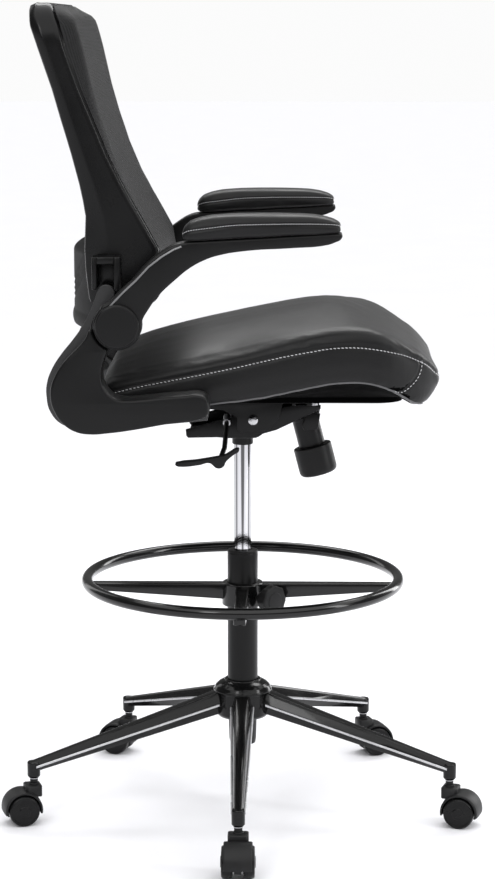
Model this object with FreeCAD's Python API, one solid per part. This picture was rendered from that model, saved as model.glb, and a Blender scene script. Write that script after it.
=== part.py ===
import FreeCAD, Part
import math
import os

# Drafting chair with a five-star base, gas lift, foot ring, flip-up arms and a mesh back.
# Millimetres. +Z is up, +X is the chair's front, -Y is the sitter's right.
# The origin is on the floor, under the axis of the column.

# Base and casters
LEG_COUNT = 5
FIRST_LEG_ANGLE = -90.0
STEM_RADIUS = 354.0
HUB_R = 47.0
HUB_BOTTOM_Z = 151.0
HUB_TOP_Z = 214.0
LEG_ROOT_S = 34.0
LEG_END_S = 358.0
LEG_ROOT_Z = (160.0, 198.0)
LEG_END_Z = (84.0, 101.5)
LEG_ROOT_HALF_WIDTH = 18.0
LEG_END_HALF_WIDTH = 9.5
LEG_WALL = 2.5
SOCKET_R = 10.5
SOCKET_BOTTOM_Z = 75.0
WHEEL_R = 25.0
WHEEL_INNER_Y = 8.0
WHEEL_OUTER_Y = 27.0
CASTER_TRAIL = 20.0
HOOD_R = 30.5
HOOD_HALF_WIDTH = 22.0
CASTER_STEM_R = 5.5
AXLE_R = 3.0
# the way each caster trails, in degrees from the direction of its own leg
CASTER_TURNS = (0.0, 1.0, -37.0, 37.0, -1.0)

# Gas lift
COLUMN_R = 25.0
COLUMN_WALL = 2.0
COLUMN_TOP_Z = 427.0
COLUMN_BOTTOM_Z = 104.0
CYLINDER_R = 14.0
CYLINDER_BOTTOM_Z = 330.0
CYLINDER_TOP_Z = 640.0
COLLAR_BOTTOM_Z = 606.0
ROD_R = 5.0
BUTTON_R = 4.0

# Foot ring
RING_RADIUS = 255.0
RING_TUBE_R = 9.25
RING_Z = 382.0
RING_HUB_R = 34.0
RING_HUB_Z = (338.0, 377.0)
RING_KNOB_ANGLE = -45.0
RING_KNOB_Z = 355.0
RING_KNOB_R = 26.0

# Tilt mechanism
PIVOT_X = 18.0
PIVOT_Z = 656.0
PIN_R = 5.0
HOUSING_HALF_WIDTH = 66.0
SHEET = 3.0
PLATE_Z = (685.0, 691.0)
PLATE_HALF_WIDTH = 85.0
TENSION_LEAN = 14.5
TENSION_TOP = (113.0, 0.0, 604.0)
TENSION_TUBE_R = 21.5
TENSION_KNOB_R = 31.0
TENSION_KNOB_LENGTH = 48.0
LEVER_X = -24.0
ROCKER_PIVOT_Y = -58.0
ROCKER_PIVOT_Z = 654.5
LEVER_ROD_R = 4.0
LEVER_DROP = 0.1436

# Seat
BOARD_Z = (691.0, 703.0)
BOARD_HALF_WIDTH = 120.0
CUSHION_HALF_WIDTH = 247.0
LIP_START_X = 270.0

# Arms: distances are from the middle plane, the same on both sides
BAR_Y = (252.0, 262.0)
BRACKET_OUTER_Y = 318.0
HEAD_Y = (274.0, 297.0)
ROOT_Y = (298.0, 318.0)
ARM_Y = (276.0, 318.0)
ARM_PIVOT_X = -181.0
ARM_PIVOT_Z = 835.0
HEAD_R = 36.0
CAP_R = 33.0
ARM_PIN_R = 8.0
PAD_MID_Y = 295.0
PAD_HALF_WIDTH = 33.0

# Back
BACK_HALF_WIDTH = 230.0
STILE_WIDTH = 26.0
BACK_BOTTOM_Z = 862.0
BACK_TOP_Z = 1308.0
MESH_THICKNESS = 2.5

FIT = 0.05
GAP = 0.3
RIGHT = -1
LEFT = 1


def vec(x, y, z):
    return FreeCAD.Vector(x, y, z)


def cylinder(radius, start, end):
    """Round bar between two points."""
    a = vec(*start)
    b = vec(*end)
    return Part.makeCylinder(radius, (b - a).Length, a, b - a)


def box(x_range, y_range, z_range):
    low = vec(min(x_range), min(y_range), min(z_range))
    return Part.makeBox(abs(x_range[1] - x_range[0]), abs(y_range[1] - y_range[0]),
                        abs(z_range[1] - z_range[0]), low)


def turned(profile):
    """Solid of revolution about Z from (radius, height) corners."""
    corners = [vec(r, 0, z) for r, z in profile]
    face = Part.Face(Part.makePolygon(corners + corners[:1]))
    return face.revolve(vec(0, 0, 0), vec(0, 0, 1), 360)


def stroke_edges(strokes):
    """Edges through strokes of (u, v) points in the XZ plane; a stroke of more than two is a curve.

    Each stroke starts where the one before it ended, and the last one closes the outline.
    """
    edges = []
    last = strokes[0][0]
    for stroke in strokes:
        points = [vec(u, 0, v) for u, v in stroke]
        start = vec(last[0], 0, last[1])
        if (points[0] - start).Length > 0.001:
            points.insert(0, start)
        if len(points) == 2:
            edges.append(Part.makeLine(points[0], points[1]))
        else:
            curve = Part.BSplineCurve()
            curve.interpolate(points)
            edges.append(curve.toShape())
        last = stroke[-1]
    first = vec(strokes[0][0][0], 0, strokes[0][0][1])
    end = vec(last[0], 0, last[1])
    if (end - first).Length > 0.001:
        edges.append(Part.makeLine(end, first))
    return edges


def side_prism(strokes, y_range):
    """Outline drawn in side view and given its width across the chair."""
    face = Part.Face(Part.Wire(stroke_edges(strokes)))
    solid = face.extrude(vec(0, y_range[1] - y_range[0], 0))
    solid.translate(vec(0, y_range[0], 0))
    return solid


def polygon_prism(points, y_range):
    corners = [vec(u, 0, v) for u, v in points]
    face = Part.Face(Part.makePolygon(corners + corners[:1]))
    solid = face.extrude(vec(0, y_range[1] - y_range[0], 0))
    solid.translate(vec(0, y_range[0], 0))
    return solid


def sided(y_range, side):
    """Distances from the middle plane as a Y range on the given side."""
    return tuple(sorted((side * y_range[0], side * y_range[1])))


def lofted(sections):
    wires = [Part.makePolygon([vec(*p) for p in s + s[:1]]) for s in sections]
    return Part.makeLoft(wires, True, True)


def spun(shape, angle):
    copy = shape.copy()
    copy.rotate(vec(0, 0, 0), vec(0, 0, 1), angle)
    return copy


def export(name, solids):
    """Write one node; several separate solids become a compound."""
    shape = solids[0] if len(solids) == 1 else Part.makeCompound(solids)
    shape.exportStep("parts/" + name + ".step")
    print(name, len(shape.Solids), round(shape.Volume / 1000.0, 2), shape.isValid())


# ---------------------------------------------------------------- base

def hub_envelope():
    return turned([(0, HUB_BOTTOM_Z), (40, HUB_BOTTOM_Z), (44, HUB_BOTTOM_Z + 5), (HUB_R, 172),
                   (HUB_R, 197), (45, 202), (40, 207), (33, 211), (27, HUB_TOP_Z), (0, HUB_TOP_Z)])


def column_taper(extra):
    """Outside of the column's tapered foot, grown by extra."""
    return turned([(0, 90), (22.4 + extra, 90), (22.4 + extra, 112), (COLUMN_R + extra, 205),
                   (COLUMN_R + extra, 240), (0, 240)])


def base_hub():
    return hub_envelope().cut(column_taper(FIT))


def leg_section(s, half_width, z_low, z_high):
    """Six-sided pressed section with a crease along the middle of each side."""
    middle = z_low + 0.47 * (z_high - z_low)
    return [(s, -half_width, middle), (s, -0.5 * half_width, z_high), (s, 0.5 * half_width, z_high),
            (s, half_width, middle), (s, 0.6 * half_width, z_low), (s, -0.6 * half_width, z_low)]


def leg_section_at(s, wall):
    """Section of the leg at distance s from the hub's axis, made smaller by a wall all round."""
    share = (s - LEG_ROOT_S) / (LEG_END_S - LEG_ROOT_S)
    half = LEG_ROOT_HALF_WIDTH + share * (LEG_END_HALF_WIDTH - LEG_ROOT_HALF_WIDTH)
    low = LEG_ROOT_Z[0] + share * (LEG_END_Z[0] - LEG_ROOT_Z[0])
    high = LEG_ROOT_Z[1] + share * (LEG_END_Z[1] - LEG_ROOT_Z[1])
    return leg_section(s, half - wall, low + wall, high - wall)


def base_leg(index):
    leg = lofted([leg_section_at(LEG_ROOT_S, 0.0), leg_section_at(LEG_END_S, 0.0)])
    hollow_end = STEM_RADIUS - SOCKET_R - LEG_WALL
    leg = leg.cut(lofted([leg_section_at(LEG_ROOT_S - 4, LEG_WALL), leg_section_at(hollow_end, LEG_WALL)]))
    leg = leg.cut(hub_envelope())
    leg = leg.cut(cylinder(SOCKET_R, (STEM_RADIUS, 0, 60), (STEM_RADIUS, 0, 130)))
    leg = max(leg.Solids, key=lambda solid: solid.Volume)
    return spun(leg, leg_angle(index))


def leg_angle(index):
    return FIRST_LEG_ANGLE + index * 360.0 / LEG_COUNT


def leg_socket(index):
    body = turned([(0, 98), (CASTER_STEM_R + FIT, 98), (CASTER_STEM_R + FIT, SOCKET_BOTTOM_Z),
                   (SOCKET_R - 2.5, SOCKET_BOTTOM_Z), (SOCKET_R, SOCKET_BOTTOM_Z + 3),
                   (SOCKET_R, LEG_END_Z[1] - 1), (SOCKET_R - 1, LEG_END_Z[1]), (0, LEG_END_Z[1])])
    body.translate(vec(STEM_RADIUS, 0, 0))
    return spun(body, leg_angle(index))


# ---------------------------------------------------------------- casters
# A caster is drawn with its stem on the Z axis and its wheels trailing along +X.

def caster_wheel(side):
    outer = WHEEL_OUTER_Y
    inner = WHEEL_INNER_Y
    profile = [(AXLE_R + FIT, inner), (WHEEL_R - 3, inner), (WHEEL_R - 0.5, inner + 2), (WHEEL_R, inner + 5),
               (WHEEL_R, outer - 6), (WHEEL_R - 1, outer - 3.5), (WHEEL_R - 4, outer - 1.5),
               (WHEEL_R - 9, outer - 0.4), (5, outer), (5, outer - 4), (AXLE_R + FIT, outer - 4)]
    wheel = turned(profile)
    wheel.rotate(vec(0, 0, 0), vec(1, 0, 0), -90.0 * side)
    wheel.translate(vec(CASTER_TRAIL, 0, WHEEL_R))
    return wheel


def caster_hood():
    axle = vec(CASTER_TRAIL, 0, WHEEL_R)
    width = 2 * HOOD_HALF_WIDTH
    outer = Part.makeCylinder(HOOD_R, width, axle - vec(0, HOOD_HALF_WIDTH, 0), vec(0, 1, 0))
    inner = Part.makeCylinder(HOOD_R - 3.5, width + 2, axle - vec(0, HOOD_HALF_WIDTH + 1, 0), vec(0, 1, 0))
    arch = outer.cut(inner)
    arch = arch.cut(box((-60, 80), (-40, 40), (-20, WHEEL_R - 6)))
    web = Part.makeCylinder(HOOD_R - 3, 11, axle - vec(0, 5.5, 0), vec(0, 1, 0))
    web = web.cut(box((-60, 80), (-40, 40), (-20, 12)))
    boss = box((-8.5, 16), (-16, 16), (46, 64)).fuse(cylinder(8, (0, 0, 40), (0, 0, 66.5)))
    boss = boss.cut(Part.makeCylinder(HOOD_R - 2, width, axle - vec(0, HOOD_HALF_WIDTH, 0), vec(0, 1, 0)))
    hood = arch.fuse([web, boss])
    hood = hood.cut(cylinder(CASTER_STEM_R, (0, 0, 34), (0, 0, 80)))
    hood = hood.cut(cylinder(AXLE_R, (CASTER_TRAIL, -20, WHEEL_R), (CASTER_TRAIL, 20, WHEEL_R)))
    return hood


def caster_pins():
    """Stem with its collar, and the axle."""
    stem = turned([(0, 34.5), (CASTER_STEM_R, 34.5), (CASTER_STEM_R, 67.2), (6.5, 67.2), (6.5, 74.0),
                   (CASTER_STEM_R, 74.0), (CASTER_STEM_R, 96.5), (CASTER_STEM_R - 1, 97.5), (0, 97.5)])
    axle = cylinder(AXLE_R, (CASTER_TRAIL, -WHEEL_OUTER_Y + 4.5, WHEEL_R),
                    (CASTER_TRAIL, WHEEL_OUTER_Y - 4.5, WHEEL_R))
    return [stem, axle]


def place_caster(shape, index):
    angle = math.radians(leg_angle(index))
    copy = spun(shape, leg_angle(index) + CASTER_TURNS[index])
    copy.translate(vec(STEM_RADIUS * math.cos(angle), STEM_RADIUS * math.sin(angle), 0))
    return copy


# ---------------------------------------------------------------- gas lift

def column_tube():
    inside = COLUMN_R - COLUMN_WALL
    return turned([(7, COLUMN_BOTTOM_Z), (21.0, COLUMN_BOTTOM_Z), (22.4, COLUMN_BOTTOM_Z + 8),
                   (COLUMN_R, 205), (COLUMN_R, COLUMN_TOP_Z - 1), (COLUMN_R - 1, COLUMN_TOP_Z),
                   (inside, COLUMN_TOP_Z), (inside, 205), (20.4, COLUMN_BOTTOM_Z + 8),
                   (20.4, COLUMN_BOTTOM_Z + 4), (7, COLUMN_BOTTOM_Z + 4)])


def column_bush():
    bore = CYLINDER_R + FIT
    outside = COLUMN_R - COLUMN_WALL - 0.1
    return turned([(bore, 372), (outside, 372), (outside, COLUMN_TOP_Z + 0.2), (24.5, COLUMN_TOP_Z + 0.2),
                   (24.5, COLUMN_TOP_Z + 2.5), (23, COLUMN_TOP_Z + 3.5), (bore, COLUMN_TOP_Z + 3.5)])


def gas_cylinder():
    return turned([(ROD_R + FIT, CYLINDER_BOTTOM_Z), (CYLINDER_R - 1, CYLINDER_BOTTOM_Z),
                   (CYLINDER_R, CYLINDER_BOTTOM_Z + 1), (CYLINDER_R, COLLAR_BOTTOM_Z + 2),
                   (13.2, CYLINDER_TOP_Z), (BUTTON_R + FIT, CYLINDER_TOP_Z), (BUTTON_R + FIT, 622),
                   (0, 622), (0, 600), (11, 600), (11, 342), (ROD_R + FIT, 342)])


def valve_button():
    return turned([(0, 631), (BUTTON_R, 631), (BUTTON_R, 648.2), (BUTTON_R - 1, 649.2), (0, 649.2)])


def piston_rod():
    return turned([(0, 96), (3.5, 96), (3.5, 100), (ROD_R, 109), (ROD_R, 413), (10.9, 413),
                   (10.9, 425), (0, 425)])


def rod_bearing():
    """Thrust bearing above the column's end plate, and the clip below it."""
    bearing = turned([(ROD_R + 0.1, 108.2), (12, 108.2), (12, 114), (ROD_R + 0.1, 114)])
    clip = turned([(4.2, 100.5), (11, 100.5), (11, 102.5), (4.2, 102.5)])
    clip = clip.cut(turned([(0, 95), (3.6, 95), (3.6, 100), (5.2, 110), (0, 110)]))
    return [bearing, clip]


# ---------------------------------------------------------------- foot ring

def ring_hoop():
    return Part.makeTorus(RING_RADIUS, RING_TUBE_R, vec(0, 0, RING_Z), vec(0, 0, 1))


def ring_spider():
    low, high = RING_HUB_Z
    hub = turned([(0, low), (RING_HUB_R - 2, low), (RING_HUB_R, low + 2), (RING_HUB_R, high - 2),
                  (RING_HUB_R - 2, high), (0, high)])
    top = 375.0
    near = [(20, -12, top - 26), (20, 12, top - 26), (20, 11, top), (20, -11, top)]
    far = [(261, -10, top - 12), (261, 10, top - 12), (261, 9, top), (261, -9, top)]
    spoke = lofted([near, far])
    spider = hub.fuse([spun(spoke, 90.0 * i) for i in range(4)])
    saddle = Part.makeTorus(RING_RADIUS, RING_TUBE_R + 0.02, vec(0, 0, RING_Z), vec(0, 0, 1))
    spider = spider.cut(saddle)
    spider = spider.cut(cylinder(COLUMN_R + 0.1, (0, 0, low - 5), (0, 0, high + 5)))
    screw_hole = spun(cylinder(4.1, (10, 0, RING_KNOB_Z), (60, 0, RING_KNOB_Z)), RING_KNOB_ANGLE)
    spider = spider.cut(screw_hole)
    return max(spider.Solids, key=lambda solid: solid.Volume)


def ring_knob():
    """Clamp screw with its round hand knob, drawn along +X and turned into place."""
    disc = turned([(0, 61), (RING_KNOB_R - 2, 61), (RING_KNOB_R, 63), (RING_KNOB_R, 73),
                   (RING_KNOB_R - 3, 76), (0, 76)])
    disc = disc.fuse(turned([(0, 44), (12, 44), (14, 61), (0, 61)]))
    screw = turned([(0, COLUMN_R + 1.2), (4, COLUMN_R + 1.2), (4, 50), (0, 50)])
    knob = disc.fuse(screw)
    knob.rotate(vec(0, 0, 0), vec(0, 1, 0), 90)
    knob.translate(vec(0, 0, RING_KNOB_Z))
    return spun(knob, RING_KNOB_ANGLE).removeSplitter()


# ---------------------------------------------------------------- tilt mechanism

def tension_point(distance):
    """Point on the tension screw's axis, measured down from the knob's top face."""
    lean = math.radians(TENSION_LEAN)
    return (TENSION_TOP[0] + distance * math.sin(lean), 0, TENSION_TOP[2] - distance * math.cos(lean))


HOUSING_OUTLINE = [(-90, 640), (-88, 626), (-40, 627), (-20, 626), (24, 626), (34, 633), (55, 639),
                   (78, 650), (93, 658), (126, 672), (126, 680), (90, 680), (18, 668),
                   (-36, 655)]
HOUSING_INSIDE = [(-87, 700), (-85, 629.5), (-40, 630), (-20, 629), (23, 629), (33, 636), (54, 642.2),
                  (77, 653.3), (92, 661.3), (122, 674), (122, 700)]


def tilt_housing():
    half = HOUSING_HALF_WIDTH
    shell = polygon_prism(HOUSING_OUTLINE, (-half, half))
    inside = polygon_prism(HOUSING_INSIDE, (-half + SHEET, half - SHEET))
    collar = turned([(0, COLLAR_BOTTOM_Z), (17, COLLAR_BOTTOM_Z), (17, 616), (21, 626), (21, 636), (0, 636)])
    tube = cylinder(TENSION_TUBE_R, tension_point(5), tension_point(-52))
    tube = tube.cut(cylinder(TENSION_TUBE_R - 3, tension_point(6), tension_point(-80)))
    tube = tube.cut(polygon_prism([(20, 660), (60, 650), (126, 672), (160, 690), (20, 690)], (-60, 60)))
    housing = shell.cut(inside).fuse([collar, tube])
    bore = turned([(0, 600), (CYLINDER_R + FIT, 600), (CYLINDER_R + FIT, COLLAR_BOTTOM_Z + 2),
                   (13.2 + FIT, CYLINDER_TOP_Z), (0, CYLINDER_TOP_Z)])
    housing = housing.cut(bore)
    housing = housing.cut(cylinder(PIN_R, (PIVOT_X, -90, PIVOT_Z), (PIVOT_X, 90, PIVOT_Z)))
    housing = housing.cut(cylinder(TENSION_TUBE_R - 3, tension_point(6), tension_point(-56)))
    notch = box((LEVER_X - 9, LEVER_X + 9), (-80, -50), (641, 680))
    return housing.cut(notch).removeSplitter()


def seat_plate():
    plate = box((-110, 130), (-PLATE_HALF_WIDTH, PLATE_HALF_WIDTH), PLATE_Z)
    cheeks = [polygon_prism([(-8, 642), (0, 634), (44, 640), (60, 660), (60, 687), (-8, 687)],
                            sided((69, 72), side)) for side in (RIGHT, LEFT)]
    plate = plate.fuse(cheeks)
    plate = plate.cut(cylinder(PIN_R + FIT, (PIVOT_X, -90, PIVOT_Z), (PIVOT_X, 90, PIVOT_Z)))
    for x, y in SEAT_BOLT_PLACES:
        plate = plate.cut(cylinder(3.1, (x, y, 660), (x, y, 710)))
    window = box((LEVER_X - 14, LEVER_X + 14), (-80, -38), (660, 710))
    return plate.cut(window).removeSplitter()


SEAT_BOLT_PLACES = [(-95, -74), (-95, 74), (115, -74), (115, 74)]


def pivot_pin():
    pin = cylinder(PIN_R - 0.01, (PIVOT_X, -76, PIVOT_Z), (PIVOT_X, 76, PIVOT_Z))
    heads = [cylinder(8.2, (PIVOT_X, side * 73, PIVOT_Z), (PIVOT_X, side * 77, PIVOT_Z))
             for side in (RIGHT, LEFT)]
    return pin.fuse(heads).removeSplitter()


def tilt_spring():
    """Coil spring in the tension tube, around the screw."""
    radius = 12.0
    wire_r = 1.9
    helix = Part.makeHelix(6.5, 32.5, radius)
    ring = Part.Wire(Part.makeCircle(wire_r, vec(radius, 0, 0), vec(0, 1, 0.086)))
    spring = Part.Wire(helix).makePipeShell([ring], True, False)
    spring.rotate(vec(0, 0, 0), vec(0, 1, 0), 180 - TENSION_LEAN)
    spring.translate(vec(*tension_point(-36)))
    return spring


def tension_knob():
    knob = cylinder(TENSION_KNOB_R, tension_point(0), tension_point(TENSION_KNOB_LENGTH))
    rim = [e for e in knob.Edges if e.BoundBox.Center.z < knob.BoundBox.Center.z - 10 and e.Closed]
    knob = knob.makeFillet(6, rim)
    knob = knob.cut(cylinder(TENSION_TUBE_R + 0.4, tension_point(-1), tension_point(6)))
    screw = cylinder(5, tension_point(10), tension_point(-34))
    return knob.fuse(screw).removeSplitter()


def lever_axis_point(y):
    """Point on the lever rod's axis at the given Y."""
    return (LEVER_X, y, ROCKER_PIVOT_Z + LEVER_DROP * (y - ROCKER_PIVOT_Y))


def valve_rocker():
    sleeve = cylinder(6, lever_axis_point(-76), lever_axis_point(-44))
    arm = box((LEVER_X - 6, LEVER_X + 6), (-54, 7), (650, 654))
    toe = box((LEVER_X - 6, 7), (-7, 7), (650, 654))
    rocker = sleeve.fuse([arm, toe])
    rocker = rocker.cut(cylinder(LEVER_ROD_R + FIT, lever_axis_point(-90), lever_axis_point(-30)))
    return rocker.removeSplitter()


def lever_rod():
    bend = lever_axis_point(-204)
    end = (LEVER_X - 6, -229, 620)
    straight = cylinder(LEVER_ROD_R, lever_axis_point(-48), bend)
    return straight.fuse([Part.makeSphere(LEVER_ROD_R, vec(*bend)), cylinder(LEVER_ROD_R, bend, end)])


def lever_paddle():
    outline = [(-99, 612), (-92, 608), (-62, 609), (-42, 611.5), (-31, 607.5), (-21, 613), (-9, 627),
               (-1, 633.5), (-3, 638), (-14, 634), (-24, 628.5), (-38, 626.5), (-68, 620.5), (-93, 617)]
    paddle = polygon_prism(outline, (-240, -221))
    return paddle.cut(lever_rod())


# ---------------------------------------------------------------- seat

# x, lower edge at the side, seam at the side, top in the middle, half width
CUSHION_STATIONS = [
    (-205, 690, 712, 745, 225), (-196, 688, 727, 766, 238), (-150, 692, 738, 786, CUSHION_HALF_WIDTH),
    (-90, 697, 749, 802, CUSHION_HALF_WIDTH), (-25, 704, 762, 817, CUSHION_HALF_WIDTH),
    (40, 713, 777, 830, CUSHION_HALF_WIDTH), (105, 727, 790, 841, CUSHION_HALF_WIDTH),
    (160, 736, 797, 838, CUSHION_HALF_WIDTH), (200, 734, 795, 820, 245), (235, 722, 788, 803, 240),
    (262, 703, 778, 787, 232), (285, 697, 765, 770, 222), (305, 709, 748, 753, 212),
    (317, 725, 732, 736, 204)]


def cushion_section(x, z_low, z_seam, z_top, half):
    base_half = BOARD_HALF_WIDTH + 2
    z_base = BOARD_Z[1] if x < LIP_START_X else z_low
    crown = [(math.sin(a), math.cos(a)) for a in (math.radians(t) for t in (-60, -36, -12, 12, 36, 60))]
    top = [(x, half * s, z_seam + (z_top - z_seam) * c) for s, c in crown]
    return ([(x, base_half, z_base), (x, -base_half, z_base), (x, -half, z_low), (x, -half, z_seam)]
            + top + [(x, half, z_seam), (x, half, z_low)])


def seat_cushion():
    return lofted([cushion_section(*station) for station in CUSHION_STATIONS])


def seat_board():
    board = box((-185, 255), (-BOARD_HALF_WIDTH, BOARD_HALF_WIDTH), BOARD_Z)
    corners = [e for e in board.Edges if abs(e.Length - (BOARD_Z[1] - BOARD_Z[0])) < 0.01]
    board = board.makeFillet(45, corners)
    for x, y in SEAT_BOLT_PLACES + FLANGE_BOLT_PLACES:
        board = board.cut(cylinder(3.0, (x, y, BOARD_Z[0] - 5), (x, y, BOARD_Z[1] - 1)))
    return board


def bolt(x, y, head_z, top_z, head_r):
    """Upright bolt put in from below."""
    shank = cylinder(3.0, (x, y, head_z), (x, y, top_z))
    return shank.fuse(cylinder(head_r, (x, y, head_z - 4), (x, y, head_z)))


def seat_bolts():
    return [bolt(x, y, PLATE_Z[0], BOARD_Z[1] - 2, 6) for x, y in SEAT_BOLT_PLACES]


# ---------------------------------------------------------------- arms and back bars

FLANGE_BOLT_PLACES = [(x, side * 105) for side in (RIGHT, LEFT) for x in (-132, -66)]
FLANGE_INNER_Y = 88.0
BAR_BOLT_PLACES = [(-262, 742), (-244, 700)]

BRACKET_STROKES = [
    [(-196, 806), (-216, 838)],
    [(-216, 838), (-223, 824), (-236, 808), (-254, 789), (-271, 767), (-281, 745), (-282, 724),
     (-275, 704), (-262, 686), (-244, 675), (-223, 672)],
    [(-223, 672), (-167, 677), (-111, 687), (-46, 698)],
    [(-46, 698), (-45, 722)],
    [(-45, 722), (-48, 729), (-58, 732)],
    [(-58, 732), (-111, 729), (-167, 724)],
    [(-167, 724), (-187, 727), (-200, 740), (-205, 758), (-203, 777), (-194, 798)]]


def arm_bracket(side):
    """J-shaped bracket: full width below, half width at the pivot where the arm's root runs outside it."""
    lower = side_prism(BRACKET_STROKES, sided((BAR_Y[1], BRACKET_OUTER_Y), side))
    pivot = vec(ARM_PIVOT_X, 0, ARM_PIVOT_Z)
    pocket = [cylinder(41, (pivot.x, side * HEAD_Y[1], pivot.z), (pivot.x, side * 330, pivot.z)),
              cylinder(HEAD_R + 2, (pivot.x, side * 240, pivot.z), (pivot.x, side * HEAD_Y[0], pivot.z))]
    head = cylinder(HEAD_R, (pivot.x, side * HEAD_Y[0], pivot.z), (pivot.x, side * HEAD_Y[1], pivot.z))
    bracket = lower.fuse(head)
    for hollow in pocket:
        bracket = bracket.cut(hollow)
    pin_hole = cylinder(ARM_PIN_R + 0.02, (pivot.x, side * 240, pivot.z), (pivot.x, side * 330, pivot.z))
    bracket = bracket.cut(pin_hole)
    for x, z in BAR_BOLT_PLACES:
        bracket = bracket.cut(cylinder(4.0, (x, side * 250, z), (x, side * 286, z)))
    return max(bracket.removeSplitter().Solids, key=lambda solid: solid.Volume)


ARM_STROKES = [
    [(-172, 870), (-196, 868)],
    [(-196, 868), (-176, 889), (-157, 907), (-137, 929), (-115, 946), (-92, 958), (-70, 962)],
    [(-70, 962), (154, 974)],
    [(154, 974), (152, 965), (143, 960), (132, 956.5)],
    [(132, 956.5), (78, 952), (13, 948), (-30, 941), (-52, 933), (-74, 921), (-93, 905), (-118, 882),
     (-137, 857), (-146, 836)],
    [(-146, 836), (-151, 814), (-164, 800)]]


def flip_arm(side):
    """Arm that folds up about the pivot; only its outer half reaches the pivot."""
    full = side_prism(ARM_STROKES, sided(ARM_Y, side))
    px, pz = ARM_PIVOT_X, ARM_PIVOT_Z
    full = full.cut(cylinder(44, (px, side * 270, pz), (px, side * ROOT_Y[0], pz)))
    root = cylinder(HEAD_R, (px, side * ROOT_Y[0], pz), (px, side * ROOT_Y[1], pz))
    arm = full.fuse(root)
    arm = arm.cut(cylinder(ARM_PIN_R + FIT, (px, side * 260, pz), (px, side * 330, pz)))
    return max(arm.removeSplitter().Solids, key=lambda solid: solid.Volume)


def pad_section(x, z_low, z_high, half):
    """Upright slice of a pad: flat below, full at the sides, gently crowned on top."""
    rise = z_high - z_low
    shape = [(-0.9, 0), (-1, 0.22), (-1, 0.6), (-0.86, 0.86), (-0.45, 0.98), (0.45, 0.98), (0.86, 0.86),
             (1, 0.6), (1, 0.22), (0.9, 0)]
    return [(x, PAD_MID_Y + half * u, z_low + rise * v) for u, v in shape]


# x, underside, top, half width
PAD_STATIONS = [(-87, 962, 976, 22), (-83, 961.5, 985, 27), (-70, 961.9, 993, 31),
                (-45, 963.5, 1000, PAD_HALF_WIDTH), (0, 966, 1003, PAD_HALF_WIDTH),
                (60, 969.2, 1004, PAD_HALF_WIDTH), (115, 972.1, 1003, PAD_HALF_WIDTH),
                (140, 973.5, 998, 30), (152, 974.2, 991, 26), (156, 975, 984, 21)]


def arm_pad(side):
    pad = lofted([pad_section(*station) for station in PAD_STATIONS])
    arm_top = [(-120, 940), (-120, 961.6), (-70, 962.3), (154, 974.3), (180, 975.7), (180, 940)]
    under = polygon_prism(arm_top, (0, 400))
    pad = pad.cut(under)
    return pad if side == LEFT else pad.mirror(vec(0, 0, 0), vec(0, 1, 0))


def pivot_cap(side):
    px, pz = ARM_PIVOT_X, ARM_PIVOT_Z
    disc = cylinder(CAP_R, (px, side * (ROOT_Y[1] + 0.4), pz), (px, side * 325, pz))
    rim = [e for e in disc.Edges if e.Closed and abs(e.BoundBox.Center.y) > 324]
    return disc.makeFillet(2.5, rim)


def arm_pin(side):
    px, pz = ARM_PIVOT_X, ARM_PIVOT_Z
    shank = cylinder(ARM_PIN_R, (px, side * 270, pz), (px, side * (ROOT_Y[1] + 0.4), pz))
    return shank.fuse(cylinder(13, (px, side * 267, pz), (px, side * HEAD_Y[0], pz)))


BAR_STROKES = [
    [(-212, 922), (-214, 884)],
    [(-214, 884), (-220, 866), (-227, 848), (-238, 828), (-253, 807), (-270, 786), (-284, 764),
     (-292, 742), (-293, 722), (-287, 697), (-268, 677)],
    [(-268, 677), (-240, 672)],
    [(-240, 672), (-167, 673), (-111, 679), (-48, 685)],
    [(-48, 685), (-48, 700)],
    [(-48, 700), (-170, 698)],
    [(-170, 698), (-212, 701), (-240, 715), (-252, 738), (-245, 763), (-226, 790), (-207, 818),
     (-195, 845), (-190, 870), (-189, 886)],
    [(-189, 886), (-189, 922)]]


def back_bracket(side):
    """Flat bar that rises to the back, with a flange that is screwed under the seat."""
    bar = side_prism(BAR_STROKES, sided(BAR_Y, side))
    flange = box((-150, -48), sided((FLANGE_INNER_Y, BAR_Y[1]), side), PLATE_Z)
    bracket = bar.fuse(flange)
    for x, y in FLANGE_BOLT_PLACES:
        bracket = bracket.cut(cylinder(3.1, (x, y, 660), (x, y, 710)))
    for x, z in BAR_BOLT_PLACES:
        bracket = bracket.cut(cylinder(4.1, (x, side * 240, z), (x, side * 270, z)))
    return bracket.removeSplitter()


def bracket_bolts():
    bolts = [bolt(x, y, PLATE_Z[0], BOARD_Z[1] - 2, 6) for x, y in FLANGE_BOLT_PLACES]
    for side in (RIGHT, LEFT):
        for x, z in BAR_BOLT_PLACES:
            shank = cylinder(3.9, (x, side * BAR_Y[0], z), (x, side * 285, z))
            bolts.append(shank.fuse(cylinder(7.5, (x, side * 247, z), (x, side * BAR_Y[0], z))))
    return bolts


# ---------------------------------------------------------------- back

# z, rear edge, front edge at the outside, front edge at the inside
STILE_STATIONS = [
    (862, -228, -160, -150), (885, -232, -136, -126), (915, -235, -124, -116), (943, -236, -126, -121),
    (992, -234, -153, -148), (1040, -243, -180, -173), (1086, -255, -203, -192), (1137, -270, -224, -209),
    (1183, -283, -243, -222), (1245, -304, -265, -236), (1281, -316, -275, -246), (1308, -318, -285, -254)]


def stile_section(z, rear, front_out, front_in, side):
    outer = BACK_HALF_WIDTH
    inner = BACK_HALF_WIDTH - STILE_WIDTH
    face = front_in - MESH_THICKNESS - 0.5
    corners = [(rear, inner), (rear, outer - 6), (rear + 6, outer), (front_out, outer),
               (face, inner + 6), (face, inner)]
    return [(x, side * y, z) for x, y in corners]


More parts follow.
